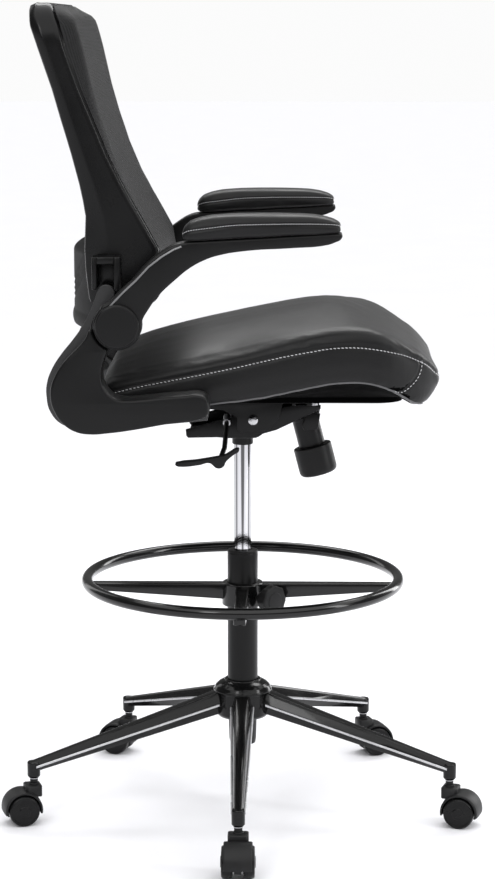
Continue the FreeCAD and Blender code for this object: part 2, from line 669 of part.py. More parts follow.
def back_outline():
    """Front view of the back as a block, with round upper corners."""
    block = box((-400, -50), (-BACK_HALF_WIDTH, BACK_HALF_WIDTH), (BACK_BOTTOM_Z, BACK_TOP_Z))
    upper = [e for e in block.Edges if abs(e.Length - 350) < 0.01 and e.BoundBox.Center.z > 1000]
    return block.makeFillet(52, upper)


def back_frame():
    stiles = [lofted([stile_section(*s, side) for s in STILE_STATIONS]) for side in (RIGHT, LEFT)]
    inner = BACK_HALF_WIDTH - STILE_WIDTH
    top = side_prism([[(-256, 1308), (-312, 1308)], [(-312, 1308), (-317, 1300), (-317, 1284)],
                      [(-317, 1284), (-309, 1262), (-292, 1257)], [(-292, 1257), (-249, 1269)],
                      [(-249, 1269), (-254, 1292), (-256, 1308)]], (-inner - 1, inner + 1))
    bottom = polygon_prism([(-211.5, 866), (-211.5, 894), (-140, 900), (-134, 886), (-150, 866)],
                           (-inner - 1, inner + 1))
    bosses = []
    for side in (RIGHT, LEFT):
        boss = box((-222, -179), sided((BACK_HALF_WIDTH - 2, BAR_Y[1] + 5), side), (884, 934))
        slot = box((-214.3, -188.7), sided((BAR_Y[0] - 0.2, BAR_Y[1] + 0.2), side), (870, 922.5))
        bosses.append(boss.cut(slot))
    frame = stiles[0].fuse([stiles[1], top, bottom] + bosses)
    outline = back_outline().fuse([box((-230, -170), sided((200, 280), side), (880, 940))
                                   for side in (RIGHT, LEFT)])
    return frame.common(outline).cut(mesh_side(0.4, 80, 260)).removeSplitter()


def mesh_side(behind, ahead, half_width):
    """Band along the curve of the mesh, drawn in side view and given its width."""
    fronts = [(front_in + ahead, z) for z, _, _, front_in in STILE_STATIONS]
    backs = [(front_in - MESH_THICKNESS - behind, z) for z, _, _, front_in in STILE_STATIONS]
    return side_prism([fronts, [fronts[-1], backs[-1]], backs[::-1]], (-half_width, half_width))


def back_mesh():
    """Sheet stretched over the front of the frame."""
    return mesh_side(0, 0, 224).common(back_outline())


def lumbar_shell():
    """Curved support plate across the back of the frame."""
    inner = BACK_HALF_WIDTH - STILE_WIDTH
    thickness = 4.0

    def arc(depth):
        side_x = -216 + depth
        return Part.Arc(vec(side_x, -inner, 0), vec(-270 + depth, 0, 0), vec(side_x, inner, 0)).toShape()

    outer, inside = arc(0), arc(thickness)
    ends = [Part.makeLine(vec(-216, side * inner, 0), vec(-216 + thickness, side * inner, 0))
            for side in (RIGHT, LEFT)]
    face = Part.Face(Part.Wire([outer, ends[1], inside, ends[0]]))
    shell = face.extrude(vec(0, 0, 120))
    shell.translate(vec(0, 0, 812))
    return shell


def main():
    os.makedirs("parts", exist_ok=True)
    export("base_hub", [base_hub()])
    for i in range(LEG_COUNT):
        export(f"base_leg_{i + 1}", [base_leg(i)])
    export("leg_sockets", [leg_socket(i) for i in range(LEG_COUNT)])
    for i in range(LEG_COUNT):
        name = f"caster_{i + 1}_"
        export(name + "hood", [place_caster(caster_hood(), i)])
        export(name + "pins", [place_caster(pin, i) for pin in caster_pins()])
        export(name + "wheel_a", [place_caster(caster_wheel(RIGHT), i)])
        export(name + "wheel_b", [place_caster(caster_wheel(LEFT), i)])
    export("column_tube", [column_tube()])
    export("column_bush", [column_bush()])
    export("gas_cylinder", [gas_cylinder()])
    export("valve_button", [valve_button()])
    export("piston_rod", [piston_rod()])
    export("rod_bearing", rod_bearing())
    export("foot_ring_hoop", [ring_hoop()])
    export("foot_ring_spider", [ring_spider()])
    export("foot_ring_knob", [ring_knob()])
    export("tilt_housing", [tilt_housing()])
    export("seat_plate", [seat_plate()])
    export("pivot_pin", [pivot_pin()])
    export("tilt_spring", [tilt_spring()])
    export("tension_knob", [tension_knob()])
    export("valve_rocker", [valve_rocker()])
    export("lever_rod", [lever_rod()])
    export("lever_paddle", [lever_paddle()])
    export("seat_cushion", [seat_cushion()])
    export("seat_board", [seat_board()])
    export("seat_bolts", seat_bolts())
    for name, side in (("right", RIGHT), ("left", LEFT)):
        export("arm_bracket_" + name, [arm_bracket(side)])
        export("flip_arm_" + name, [flip_arm(side)])
        export("arm_pad_" + name, [arm_pad(side)])
    export("pivot_caps", [pivot_cap(side) for side in (RIGHT, LEFT)])
    export("pivot_pins", [arm_pin(side) for side in (RIGHT, LEFT)])
    export("back_brackets", [back_bracket(side) for side in (RIGHT, LEFT)])
    export("bracket_bolts", bracket_bolts())
    export("back_frame", [back_frame()])
    export("back_mesh", [back_mesh()])
    export("lumbar_shell", [lumbar_shell()])


main()
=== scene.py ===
# %% [markdown]
# # A drafting chair, piece by piece
# The chair's structure comes in as a fixed frame, and every piece below is made around it.
# Lengths are in metres. MM turns a maker's millimetres into metres, which keeps sizes easy to read.

# %% Load the frame
import math

import bmesh
import bpy
from mathutils import Matrix, Vector
from mathutils.bvhtree import BVHTree
from mathutils.kdtree import KDTree


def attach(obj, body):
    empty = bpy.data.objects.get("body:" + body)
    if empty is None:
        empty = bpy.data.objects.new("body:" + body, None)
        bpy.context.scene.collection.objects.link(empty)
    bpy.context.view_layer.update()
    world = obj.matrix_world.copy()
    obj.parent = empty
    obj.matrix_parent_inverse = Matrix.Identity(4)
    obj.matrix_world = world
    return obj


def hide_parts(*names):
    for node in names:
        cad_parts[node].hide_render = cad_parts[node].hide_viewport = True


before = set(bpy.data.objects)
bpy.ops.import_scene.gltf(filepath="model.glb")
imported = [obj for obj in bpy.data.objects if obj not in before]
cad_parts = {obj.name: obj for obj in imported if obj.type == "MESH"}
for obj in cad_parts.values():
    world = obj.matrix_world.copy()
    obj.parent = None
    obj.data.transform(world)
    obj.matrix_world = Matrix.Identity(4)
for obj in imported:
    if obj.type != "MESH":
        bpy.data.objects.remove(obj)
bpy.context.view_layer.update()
MM = 0.001

# %% [markdown]
# ## Camera
# A product picture is taken from far away with a long lens, so that the near and the far side of the
# chair keep nearly the same size. The camera stands level with the top of the back and looks a little down.

# %% Camera
camera_data = bpy.data.cameras.new("camera")
camera_data.lens = 101.53
camera_data.sensor_width = 36
camera = bpy.data.objects.new("camera", camera_data)
camera.location = (0.0774, -3.9807, 1.2733)
camera.rotation_euler = (math.radians(90 - 9.42), 0, math.radians(1.0))
bpy.context.scene.collection.objects.link(camera)
bpy.context.scene.camera = camera

# %% [markdown]
# ## Small tools
# Most pieces start the same way: a profile is turned about an axis, a flat outline is given thickness,
# or a row of loops is bridged. Each way gets one short helper. Every helper works in place, so the
# finished object keeps its origin at the world's origin.

# %% Turn a mesh in the making into an object
def finish_mesh(bm, name, material, sharp=35):
    """Closes the work on bm: outward faces, smooth shading, and hard edges where it bends sharply."""
    bmesh.ops.remove_doubles(bm, verts=bm.verts, dist=0.00001)
    bmesh.ops.recalc_face_normals(bm, faces=bm.faces)
    for face in bm.faces:
        face.smooth = True
    for edge in bm.edges:
        if len(edge.link_faces) == 2 and edge.calc_face_angle(0) > math.radians(sharp):
            edge.smooth = False
    name = name.replace(" ", "_")
    mesh = bpy.data.meshes.new(name)
    bm.to_mesh(mesh)
    bm.free()
    piece = bpy.data.objects.new(name, mesh)
    bpy.context.scene.collection.objects.link(piece)
    mesh.materials.append(material)
    return piece


def place(piece, body, slot, *nodes):
    """The piece rides on a body and stands for the nodes named. The slot is not used."""
    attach(piece, body)
    if nodes:
        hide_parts(*nodes)
    return piece


def bevel_sharp(bm, width, segments=2, angle=30):
    """Rounds every edge that bends more than angle degrees."""
    edges = [e for e in bm.edges if len(e.link_faces) == 2 and e.calc_face_angle(0) > math.radians(angle)]
    bmesh.ops.bevel(bm, geom=edges, offset=width, offset_type="OFFSET", segments=segments, profile=0.5,
                    affect="EDGES", clamp_overlap=True, material=-1)


# %% Millimetres to metres
def in_mm(points):
    """Points drawn in millimetres, in metres. A third value marks a sharp corner and stays."""
    return [(p[0] * MM, p[1] * MM, *p[2:]) for p in points]


# %% Gathering several shapes in one mesh
def add_mesh(bm, mesh):
    bm.from_mesh(mesh)
    bpy.data.meshes.remove(mesh)


def gather(bm, part):
    """Moves a finished part into the mesh that collects the piece."""
    mesh = bpy.data.meshes.new("part")
    part.to_mesh(mesh)
    part.free()
    add_mesh(bm, mesh)


# %% Turning on a lathe
def axis_matrix(origin, direction):
    """Places a shape drawn about +Z so that it stands on origin and points along direction."""
    turn = Vector((0, 0, 1)).rotation_difference(Vector(direction)).to_matrix().to_4x4()
    return Matrix.Translation(Vector(origin)) @ turn


def lathe(bm, profile, matrix=Matrix(), steps=48):
    """Spins a profile of (radius, height) about Z and places it."""
    part = bmesh.new()
    verts = [part.verts.new((r, 0, h)) for r, h in profile]
    edges = [part.edges.new(pair) for pair in zip(verts, verts[1:])]
    bmesh.ops.spin(part, geom=verts + edges, cent=(0, 0, 0), axis=(0, 0, 1), angle=math.tau, steps=steps,
                   use_merge=True)
    bmesh.ops.transform(part, matrix=matrix, verts=part.verts)
    bmesh.ops.remove_doubles(part, verts=part.verts, dist=0.00002)
    bmesh.ops.recalc_face_normals(part, faces=part.faces)
    gather(bm, part)


def rounded(profile, radius, steps=3):
    """The same (radius, height) profile with its inner corners rounded off."""
    points = [Vector(p) for p in profile]
    result = [points[0]]
    for before, corner, after in zip(points, points[1:], points[2:]):
        reach = min(radius, 0.45 * (corner - before).length, 0.45 * (after - corner).length)
        a = corner + (before - corner).normalized() * reach
        b = corner + (after - corner).normalized() * reach
        for i in range(steps + 1):
            t = i / steps
            result.append(a * (1 - t) ** 2 + corner * 2 * t * (1 - t) + b * t * t)
    result.append(points[-1])
    return [tuple(p) for p in result]


# %% A bar between two points
def bar(bm, radius, start, end, steps=24):
    """Round bar with closed, slightly softened ends."""
    length = (Vector(end) - Vector(start)).length
    soft = min(radius * 0.2, 0.6 * MM)
    profile = [(0, 0), (radius - soft, 0), (radius, soft), (radius, length - soft), (radius - soft, length),
               (0, length)]
    lathe(bm, profile, axis_matrix(start, Vector(end) - Vector(start)), steps)


# %% Flat outlines with thickness
def outline_mesh(points, width, soft, smooth=True, resolution=6):
    """Mesh of a side-view outline: points are (x, z), width is (y0, y1), soft is the rounded edge."""
    curve = bpy.data.curves.new("outline", "CURVE")
    curve.dimensions = "2D"
    curve.fill_mode = "BOTH"
    curve.resolution_u = resolution
    spline = curve.splines.new("BEZIER")
    spline.bezier_points.add(len(points) - 1)
    for knot, point in zip(spline.bezier_points, points):
        knot.co = (point[0], point[1], 0)
        kind = "AUTO" if smooth and len(point) == 2 else "VECTOR"
        knot.handle_left_type = knot.handle_right_type = kind
    spline.use_cyclic_u = True
    curve.extrude = abs(width[1] - width[0]) / 2 - soft
    curve.bevel_depth = soft
    curve.bevel_resolution = 3
    curve.offset = -soft
    holder = bpy.data.objects.new("outline", curve)
    bpy.context.scene.collection.objects.link(holder)
    bpy.context.view_layer.update()
    mesh = bpy.data.meshes.new_from_object(holder.evaluated_get(bpy.context.evaluated_depsgraph_get()))
    bpy.data.objects.remove(holder)
    mesh.transform(Matrix.Rotation(math.pi / 2, 4, "X"))
    mesh.transform(Matrix.Translation((0, (width[0] + width[1]) / 2, 0)))
    return mesh


# %% Bridging a row of loops
def loft(bm, loops, caps=True):
    """Skin over closed loops of points, each with the same number of points."""
    rings = []
    for points in loops:
        verts = [bm.verts.new(p) for p in points]
        rings.append([bm.edges.new((a, b)) for a, b in zip(verts, verts[1:] + verts[:1])])
    for first, second in zip(rings, rings[1:]):
        bmesh.ops.bridge_loops(bm, edges=first + second)
    if caps:
        for ring in (rings[0], rings[-1]):
            bmesh.ops.contextual_create(bm, geom=ring)


print("helpers ready")

# %% [markdown]
# ## Finishes
# Nearly everything on this chair is black, so what tells steel, nylon, leather and mesh apart is how
# rough they are, how fine their grain is and how the light rolls over them. Two effects are shared by
# many finishes, so each is one node group: a slow change of tone and gloss, and a fine grain.

# %% Shared effect: uneven tone and gloss
def new_group(name, inputs, outputs):
    group = bpy.data.node_groups.new(name, "ShaderNodeTree")
    for socket, kind, value in inputs:
        made = group.interface.new_socket(socket, in_out="INPUT", socket_type="NodeSocket" + kind)
        made.default_value = value
    for socket, kind in outputs:
        group.interface.new_socket(socket, in_out="OUTPUT", socket_type="NodeSocket" + kind)
    return group, group.nodes.new("NodeGroupInput"), group.nodes.new("NodeGroupOutput")


def link(tree, source, target):
    tree.links.new(source, target)


def uneven_group():
    """Colour and roughness that drift a little over a hand's width."""
    group, given, result = new_group(
        "uneven finish",
        [("Dark", "Color", (0, 0, 0, 1)), ("Light", "Color", (1, 1, 1, 1)), ("Smooth", "Float", 0.3),
         ("Rough", "Float", 0.5), ("Scale", "Float", 20.0)],
        [("Color", "Color"), ("Roughness", "Float")])
    place_node = group.nodes.new("ShaderNodeTexCoord")
    noise = group.nodes.new("ShaderNodeTexNoise")
    noise.inputs["Detail"].default_value = 5
    mix = group.nodes.new("ShaderNodeMix")
    mix.data_type = "RGBA"
    spread = group.nodes.new("ShaderNodeMapRange")
    spread.inputs["From Min"].default_value = 0.3
    spread.inputs["From Max"].default_value = 0.7
    link(group, place_node.outputs["Object"], noise.inputs["Vector"])
    link(group, given.outputs["Scale"], noise.inputs["Scale"])
    link(group, noise.outputs["Fac"], mix.inputs["Factor"])
    link(group, given.outputs["Dark"], mix.inputs["A"])
    link(group, given.outputs["Light"], mix.inputs["B"])
    link(group, noise.outputs["Fac"], spread.inputs["Value"])
    link(group, given.outputs["Smooth"], spread.inputs["To Min"])
    link(group, given.outputs["Rough"], spread.inputs["To Max"])
    link(group, mix.outputs["Result"], result.inputs["Color"])
    link(group, spread.outputs["Result"], result.inputs["Roughness"])
    return group


# %% Shared effect: grain
def grain_group():
    """Height of a pebbled grain: cells for moulded or pressed texture, noise for what breaks it up."""
    group, given, result = new_group(
        "pebble grain", [("Scale", "Float", 800.0), ("Cells", "Float", 0.6)], [("Height", "Float")])
    place_node = group.nodes.new("ShaderNodeTexCoord")
    cells = group.nodes.new("ShaderNodeTexVoronoi")
    cells.feature = "SMOOTH_F1"
    noise = group.nodes.new("ShaderNodeTexNoise")
    noise.inputs["Detail"].default_value = 3
    half = group.nodes.new("ShaderNodeMath")
    half.operation = "MULTIPLY"
    half.inputs[1].default_value = 0.6
    mix = group.nodes.new("ShaderNodeMix")
    link(group, place_node.outputs["Object"], cells.inputs["Vector"])
    link(group, place_node.outputs["Object"], noise.inputs["Vector"])
    link(group, given.outputs["Scale"], cells.inputs["Scale"])
    link(group, given.outputs["Scale"], half.inputs[0])
    link(group, half.outputs["Value"], noise.inputs["Scale"])
    link(group, given.outputs["Cells"], mix.inputs["Factor"])
    link(group, noise.outputs["Fac"], mix.inputs["A"])
    link(group, cells.outputs["Distance"], mix.inputs["B"])
    link(group, mix.outputs["Result"], result.inputs["Height"])
    return group


UNEVEN = uneven_group()
GRAIN = grain_group()


# %% One finish from the shared effects
def grey(value):
    return (value, value, value * 1.03, 1)


def make_finish(name, dark, light, smooth, rough, drift=20, grain=900, cells=0.6, depth=0.02, **sockets):
    """A finish from its two tones, its range of gloss and its grain. Other sockets are set plainly."""
    material = bpy.data.materials.new(name)
    material.use_nodes = True
    tree = material.node_tree
    shader = tree.nodes["Principled BSDF"]
    uneven = tree.nodes.new("ShaderNodeGroup")
    uneven.node_tree = UNEVEN
    for socket, value in (("Dark", grey(dark)), ("Light", grey(light)), ("Smooth", smooth), ("Rough", rough),
                          ("Scale", drift)):
        uneven.inputs[socket].default_value = value
    pebble = tree.nodes.new("ShaderNodeGroup")
    pebble.node_tree = GRAIN
    pebble.inputs["Scale"].default_value = grain
    pebble.inputs["Cells"].default_value = cells
    bump = tree.nodes.new("ShaderNodeBump")
    bump.inputs["Strength"].default_value = 1.0
    bump.inputs["Distance"].default_value = depth * MM
    link(tree, uneven.outputs["Color"], shader.inputs["Base Color"])
    link(tree, uneven.outputs["Roughness"], shader.inputs["Roughness"])
    link(tree, pebble.outputs["Height"], bump.inputs["Height"])
    link(tree, bump.outputs["Normal"], shader.inputs["Normal"])
    shader.inputs["Specular IOR Level"].default_value = 0.2
    for socket, value in sockets.items():
        shader.inputs[socket.replace("_", " ")].default_value = value
    return material


# %% The finishes of the steel parts
BASE_PAINT = make_finish("gloss base paint", 0.003, 0.005, 0.12, 0.22, drift=12, grain=500, cells=0.1,
                         depth=0.03, Coat_Weight=0.2, Coat_Roughness=0.05,
                         Specular_IOR_Level=0.16)
# The crease finish is a painted highlight: a pale, half metallic tone on the crease beads stands in for the
# thin line of light along each leg's crease.
CREASE_HIGHLIGHT_PAINT = make_finish("painted crease highlight", 0.55, 0.7, 0.22, 0.32, drift=12, grain=500, cells=0.1,
                           depth=0.01, Metallic=0.6)
COLUMN_PAINT = make_finish("satin column paint", 0.004, 0.007, 0.26, 0.36, drift=14, grain=900, cells=0.3,
                           depth=0.02)
RING_PAINT = make_finish("ring paint", 0.003, 0.005, 0.14, 0.26, drift=16, grain=500, cells=0.1, depth=0.03,
                         Coat_Weight=0.4, Coat_Roughness=0.08)
MECHANISM_PAINT = make_finish("mechanism paint", 0.003, 0.006, 0.28, 0.45, drift=30, grain=700, cells=0.4,
                              depth=0.04)
CHROME = make_finish("polished chrome", 0.46, 0.54, 0.08, 0.14, drift=30, grain=300, cells=0.0, depth=0.004,
                     Metallic=1.0)
BAR_PAINT = make_finish("grey bar enamel", 0.018, 0.026, 0.3, 0.42, drift=30, grain=700, cells=0.3,
                        depth=0.03, Specular_IOR_Level=0.5)
ZINC = make_finish("zinc plated steel", 0.34, 0.48, 0.25, 0.42, drift=60, grain=900, cells=0.2, depth=0.02,
                   Metallic=1.0)

# %% The finishes of the moulded parts
NYLON = make_finish("fine grained nylon", 0.006, 0.010, 0.38, 0.5, drift=25, grain=1400, cells=0.7,
                    depth=0.05)
ARM_NYLON = make_finish("satin arm nylon", 0.004, 0.007, 0.3, 0.42, drift=12, grain=1500, cells=0.7,
                        depth=0.035)
FRAME_NYLON = make_finish("semi gloss frame nylon", 0.004, 0.007, 0.2, 0.34, drift=10, grain=1300, cells=0.6,
                          depth=0.03)
SHELL_NYLON = make_finish("matt shell nylon", 0.010, 0.014, 0.55, 0.68, drift=12, grain=1300, cells=0.7,
                          depth=0.04)
SHELL_NYLON.node_tree.nodes["Principled BSDF"].inputs["Specular IOR Level"].default_value = 0.08
HOOD_NYLON = make_finish("matt hood nylon", 0.010, 0.016, 0.4, 0.52, drift=30, grain=1300, cells=0.7,
                         depth=0.05)
WHEEL_NYLON = make_finish("polished wheel nylon", 0.004, 0.007, 0.22, 0.36, drift=25, grain=900, cells=0.2,
                          depth=0.02)
# The arm's edge finish is a painted highlight: a grey tone on a band along the arm's upper edge stands in for
# light rolling over the rounded edge.
ARM_EDGE_HIGHLIGHT = make_finish("painted arm edge highlight", 0.13, 0.17, 0.24, 0.34, drift=20, grain=1500, cells=0.4,
                         depth=0.02, Specular_IOR_Level=0.5)
print("finishes:", len(bpy.data.materials))

# %% [markdown]
# ## Upholstery finishes
# The coated leather has a pebbled grain that is larger than a plastic's, with soft creases between the
# pebbles. A pale sewing thread and a thin cord along the seams set it off.

# %% Leather and thread
LEATHER = make_finish("charcoal coated leather", 0.006, 0.010, 0.34, 0.5, drift=9, grain=620, cells=0.75,
                      depth=0.16, Sheen_Weight=0.08, Sheen_Roughness=0.4)
PAD_LEATHER = make_finish("soft pad leather", 0.006, 0.009, 0.32, 0.46, drift=16, grain=800, cells=0.7,
                          depth=0.1, Sheen_Weight=0.05, Sheen_Roughness=0.4)
THREAD = make_finish("pale sewing thread", 0.5, 0.62, 0.6, 0.75, drift=200, grain=2500, cells=0.0,
                     depth=0.05)
PIPING = make_finish("piping cord", 0.10, 0.13, 0.3, 0.4, drift=40, grain=800, cells=0.5, depth=0.05)
DUST_COVER = make_finish("dust cover on the board", 0.001, 0.0018, 0.85, 0.95, drift=60, grain=1800,
                         cells=0.5, depth=0.12)
DUST_COVER.node_tree.nodes["Principled BSDF"].inputs["Specular IOR Level"].default_value = 0.02

# %% [markdown]
# The back is a woven mesh of thick dark yarn. The weave is two sets of waves crossing each other: where both
# are low there is an opening, and the openings are darker and let a little light through.

# %% Woven mesh
def mesh_finish():
    material = bpy.data.materials.new("woven back mesh")
    material.use_nodes = True
    tree = material.node_tree
    shader = tree.nodes["Principled BSDF"]
    place_node = tree.nodes.new("ShaderNodeTexCoord")
    heights = []
    for direction, profile in (("Y", "SIN"), ("Z", "SIN")):
        wave = tree.nodes.new("ShaderNodeTexWave")
        wave.bands_direction = direction
        wave.wave_profile = profile
        wave.inputs["Scale"].default_value = 150
        link(tree, place_node.outputs["Object"], wave.inputs["Vector"])
        heights.append(wave)
    yarn = tree.nodes.new("ShaderNodeMath")
    yarn.operation = "MAXIMUM"
    link(tree, heights[0].outputs["Fac"], yarn.inputs[0])
    link(tree, heights[1].outputs["Fac"], yarn.inputs[1])
    tone = tree.nodes.new("ShaderNodeValToRGB")
    tone.color_ramp.elements[0].position = 0.25
    tone.color_ramp.elements[0].color = grey(0.002)
    tone.color_ramp.elements[1].position = 0.75
    tone.color_ramp.elements[1].color = grey(0.013)
    cover = tree.nodes.new("ShaderNodeMapRange")
    cover.inputs["From Min"].default_value = 0.12
    cover.inputs["From Max"].default_value = 0.4
    cover.inputs["To Min"].default_value = 0.55
    cover.inputs["To Max"].default_value = 1.0
    bump = tree.nodes.new("ShaderNodeBump")
    bump.inputs["Strength"].default_value = 1.0
    bump.inputs["Distance"].default_value = 0.4 * MM
    link(tree, yarn.outputs["Value"], tone.inputs["Fac"])
    link(tree, yarn.outputs["Value"], cover.inputs["Value"])
    link(tree, yarn.outputs["Value"], bump.inputs["Height"])
    link(tree, tone.outputs["Color"], shader.inputs["Base Color"])
    link(tree, cover.outputs["Result"], shader.inputs["Alpha"])
    link(tree, bump.outputs["Normal"], shader.inputs["Normal"])
    shader.inputs["Roughness"].default_value = 0.6
    shader.inputs["Specular IOR Level"].default_value = 0.2
    return material


MESH_CLOTH = mesh_finish()
print("upholstery finishes ready")

# %% [markdown]
# # The base
# Five pressed steel legs run out from a hub. Each leg is a six-sided tube that gets slimmer outwards, with
# a crease half way up each side. A fine bead on each crease carries a painted highlight, a thin pale line of
# light.

# %% Numbers of the base
STEM_REACH = 354 * MM
LEG_ANGLES = [math.radians(-90 + 72 * i) for i in range(5)]
CASTER_TURNS = [math.radians(t) for t in (0, 1, -37, 37, -1)]


def spin_z(angle):
    return Matrix.Rotation(angle, 4, "Z")


# %% One leg
def leg_ring(s, half, low, high):
    """Six-sided section at distance s from the hub's axis, with a fine bead along the crease."""
    crease = low + 0.47 * (high - low)
    bead = 0.0012
    right = [(0.55, high), (0.72, high - 0.22 * (high - crease)), (0.93, crease + 1.5 * bead),
             (0.99, crease + bead), (1.05, crease), (0.99, crease - bead),
             (0.93, crease - 1.5 * bead), (0.6, low)]
    points = right + [(-u, z) for u, z in right[::-1]]
    return [(s, half * u, z) for u, z in points]


def leg_shape(index):
    bm = bmesh.new()
    rings = []
    for s in (34, 60, 110, 180, 250, 310, 350, 356.5):
        t = (s - 34) / (358 - 34)
        half = 18 + (9.5 - 18) * t
        low = 160 + (84 - 160) * t
        high = 198 + (101.5 - 198) * t
        rings.append(leg_ring(s * MM, half * MM, low * MM, high * MM))
    rings.append(leg_ring(358 * MM, 8.6 * MM, 85 * MM, 100.6 * MM))
    loft(bm, rings)
    bmesh.ops.recalc_face_normals(bm, faces=bm.faces)
    bevel_sharp(bm, 0.8 * MM, segments=2, angle=38)
    # Each crease gets a round bead in the second finish, the painted crease highlight.
    for side in (-1, 1):
        beads = bmesh.new()
        loops = []
        for s, half, low, high in ((46, 17.7, 157.2, 194.4), (180, 14.2, 125.8, 154.6),
                                   (352, 9.6, 85.4, 103.1)):
            y, z = side * (1.03 * half + 0.2), low + 0.47 * (high - low)
            loops.append([((s * MM), (y + 1.5 * math.cos(math.tau * i / 8)) * MM,
                           (z + 1.9 * math.sin(math.tau * i / 8)) * MM) for i in range(8)])
        loft(beads, loops)
        bmesh.ops.recalc_face_normals(beads, faces=beads.faces)
        for face in beads.faces:
            face.material_index = 1
            face.smooth = True
        gather(bm, beads)
    bmesh.ops.transform(bm, matrix=spin_z(LEG_ANGLES[index]), verts=bm.verts)
    leg = finish_mesh(bm, f"leg {index + 1}", BASE_PAINT, sharp=24)
    leg.data.materials.append(CREASE_HIGHLIGHT_PAINT)
    return leg


for i in range(5):
    place(leg_shape(i), "base", "base_paint", f"base_leg_{i + 1}")
print("legs done")

# %% [markdown]
# The hub is a domed casting with a bead where it meets the legs. It is turned as one profile, then a
# flat ring is let in around the column's foot.

# %% The hub
hub_profile = rounded([(22.6, 152), (40, 151), (44.2, 156), (47, 172), (47, 192), (48.2, 193.5),
                      (48.2, 196.5), (47, 198), (44.6, 203), (39.5, 207.6), (33, 211), (30.4, 211.6),
                      (29.6, 213.6), (26.4, 214), (25.4, 212.5), (25.3, 206)], 1.2)
bm = bmesh.new()
lathe(bm, in_mm(hub_profile), steps=96)
place(finish_mesh(bm, "hub", BASE_PAINT), "base", "base_paint", "base_hub")

# %% [markdown]
# Every leg ends in an upright socket for the caster's stem. The socket's lower end is chamfered and a
# thin bright washer lies under it.

# %% Sockets
socket_profile = rounded([(5.6, 97), (5.6, 75.2), (8, 75), (10.4, 78), (10.6, 99.6), (9.6, 101.6), (4, 102.2),
                          (0, 102.2)], 0.7)
bm = bmesh.new()
for angle in LEG_ANGLES:
    spot = Matrix.Translation((STEM_REACH * math.cos(angle), STEM_REACH * math.sin(angle), 0))
    lathe(bm, in_mm(socket_profile), spot, steps=32)
place(finish_mesh(bm, "sockets", BASE_PAINT), "base", "base_paint", "leg_sockets")

# %% [markdown]
# # Casters
# A twin-wheel caster is made once, with its stem on the Z axis and its wheels trailing along +X, and is then
# placed at each leg's end. The hood is an arch over both wheels with a flat-topped boss.

# %% Caster parts
TRAIL = 20 * MM
WHEEL_R = 25 * MM
AXLE = Vector((TRAIL, 0, WHEEL_R))


def caster_matrix(index):
    angle = LEG_ANGLES[index]
    spot = Matrix.Translation((STEM_REACH * math.cos(angle), STEM_REACH * math.sin(angle), 0))
    return spot @ spin_z(angle + CASTER_TURNS[index])


def wheel_shape(index, side):
    """Wheel with a soft tread, a dished face and a small hub cap."""
    profile = rounded([(3.1, 8), (21, 8), (24.4, 9.6), (25, 12.5), (25, 21.5), (24.2, 24.4), (22.6, 25.6),
                       (21, 25.5), (19.4, 24.8), (12, 25.8), (9.5, 25.9), (8.6, 26.9), (6, 27), (0, 27)], 0.8)
    bm = bmesh.new()
    lathe(bm, in_mm(profile), axis_matrix(AXLE, (0, side, 0)), steps=56)
    bmesh.ops.transform(bm, matrix=caster_matrix(index), verts=bm.verts)
    return finish_mesh(bm, f"caster {index + 1} wheel {'a' if side < 0 else 'b'}", WHEEL_NYLON, sharp=40)


# %% The hood
def arch_loop(radius, width, first, last, count=22):
    """Points along an arch about the axle, from angle first to last, at one side."""
    result = []
    for k in range(count + 1):
        a = math.radians(first + (last - first) * k / count)
        result.append((AXLE.x + radius * math.cos(a), width, AXLE.z + radius * math.sin(a)))
    return result


def hood_arch(bm):
    """Band over both wheels: a rounded section carried along the arch."""
    section = [(-22, 27.2), (-22, 29.4), (-21.2, 30.3), (-19.6, 30.7), (-8, 31.2), (8, 31.2), (19.6, 30.7),
               (21.2, 30.3), (22, 29.4), (22, 27.2), (19, 27.0), (-19, 27.0)]
    loops = []
    for k in range(31):
        a = math.radians(-11 + 202 * k / 30)
        loops.append([(AXLE.x + r * MM * math.cos(a), y * MM, AXLE.z + r * MM * math.sin(a))
                      for y, r in section])
    loft(bm, loops)


def hood_shape(index):
    bm = bmesh.new()
    hood_arch(bm)
    web = arch_loop(27.5 * MM, -5.5 * MM, -27, 207)
    loft(bm, [web, [(x, 5.5 * MM, z) for x, _, z in web]])
    corners = [(-8.5, -16), (12, -16), (15.5, -12.5), (15.5, 12.5), (12, 16), (-8.5, 16), (-11, 12),
               (-11, -12)]
    loft(bm, [[(x * shrink_x * MM, y * shrink_y * MM, z * MM) for x, y in corners]
              for shrink_x, shrink_y, z in ((1, 1, 46), (1, 1, 62.8), (0.93, 0.94, 64))])
    washer = rounded([(0, 60), (8.4, 60), (8.4, 65.6), (7.6, 66.5), (5.6, 66.5), (5.6, 60)], 0.4)
    lathe(bm, in_mm(washer), steps=32)
    bevel_sharp(bm, 0.7 * MM, segments=2, angle=50)
    bmesh.ops.transform(bm, matrix=caster_matrix(index), verts=bm.verts)
    return finish_mesh(bm, f"caster {index + 1} hood", HOOD_NYLON, sharp=40)


# %% Stem and axle
def pins_shape(index):
    bm = bmesh.new()
    stem = rounded([(0, 34.5), (5.45, 34.5), (5.45, 66.9), (6.4, 67.2), (6.4, 73.0), (7.4, 73.4), (7.4, 74.6),
                    (5.4, 74.9), (5.4, 96.4), (4.4, 97.4), (0, 97.4)], 0.3)
    lathe(bm, in_mm(stem), steps=32)
    bar(bm, 3 * MM, AXLE + Vector((0, -0.0225, 0)), AXLE + Vector((0, 0.0225, 0)))
    bmesh.ops.transform(bm, matrix=caster_matrix(index), verts=bm.verts)
    for face in bm.faces:
        if 0.06 < face.calc_center_median().z < 0.0732:
            face.material_index = 1
    piece = finish_mesh(bm, f"caster {index + 1} pins", CHROME, sharp=30)
    piece.data.materials.append(HOOD_NYLON)
    return piece


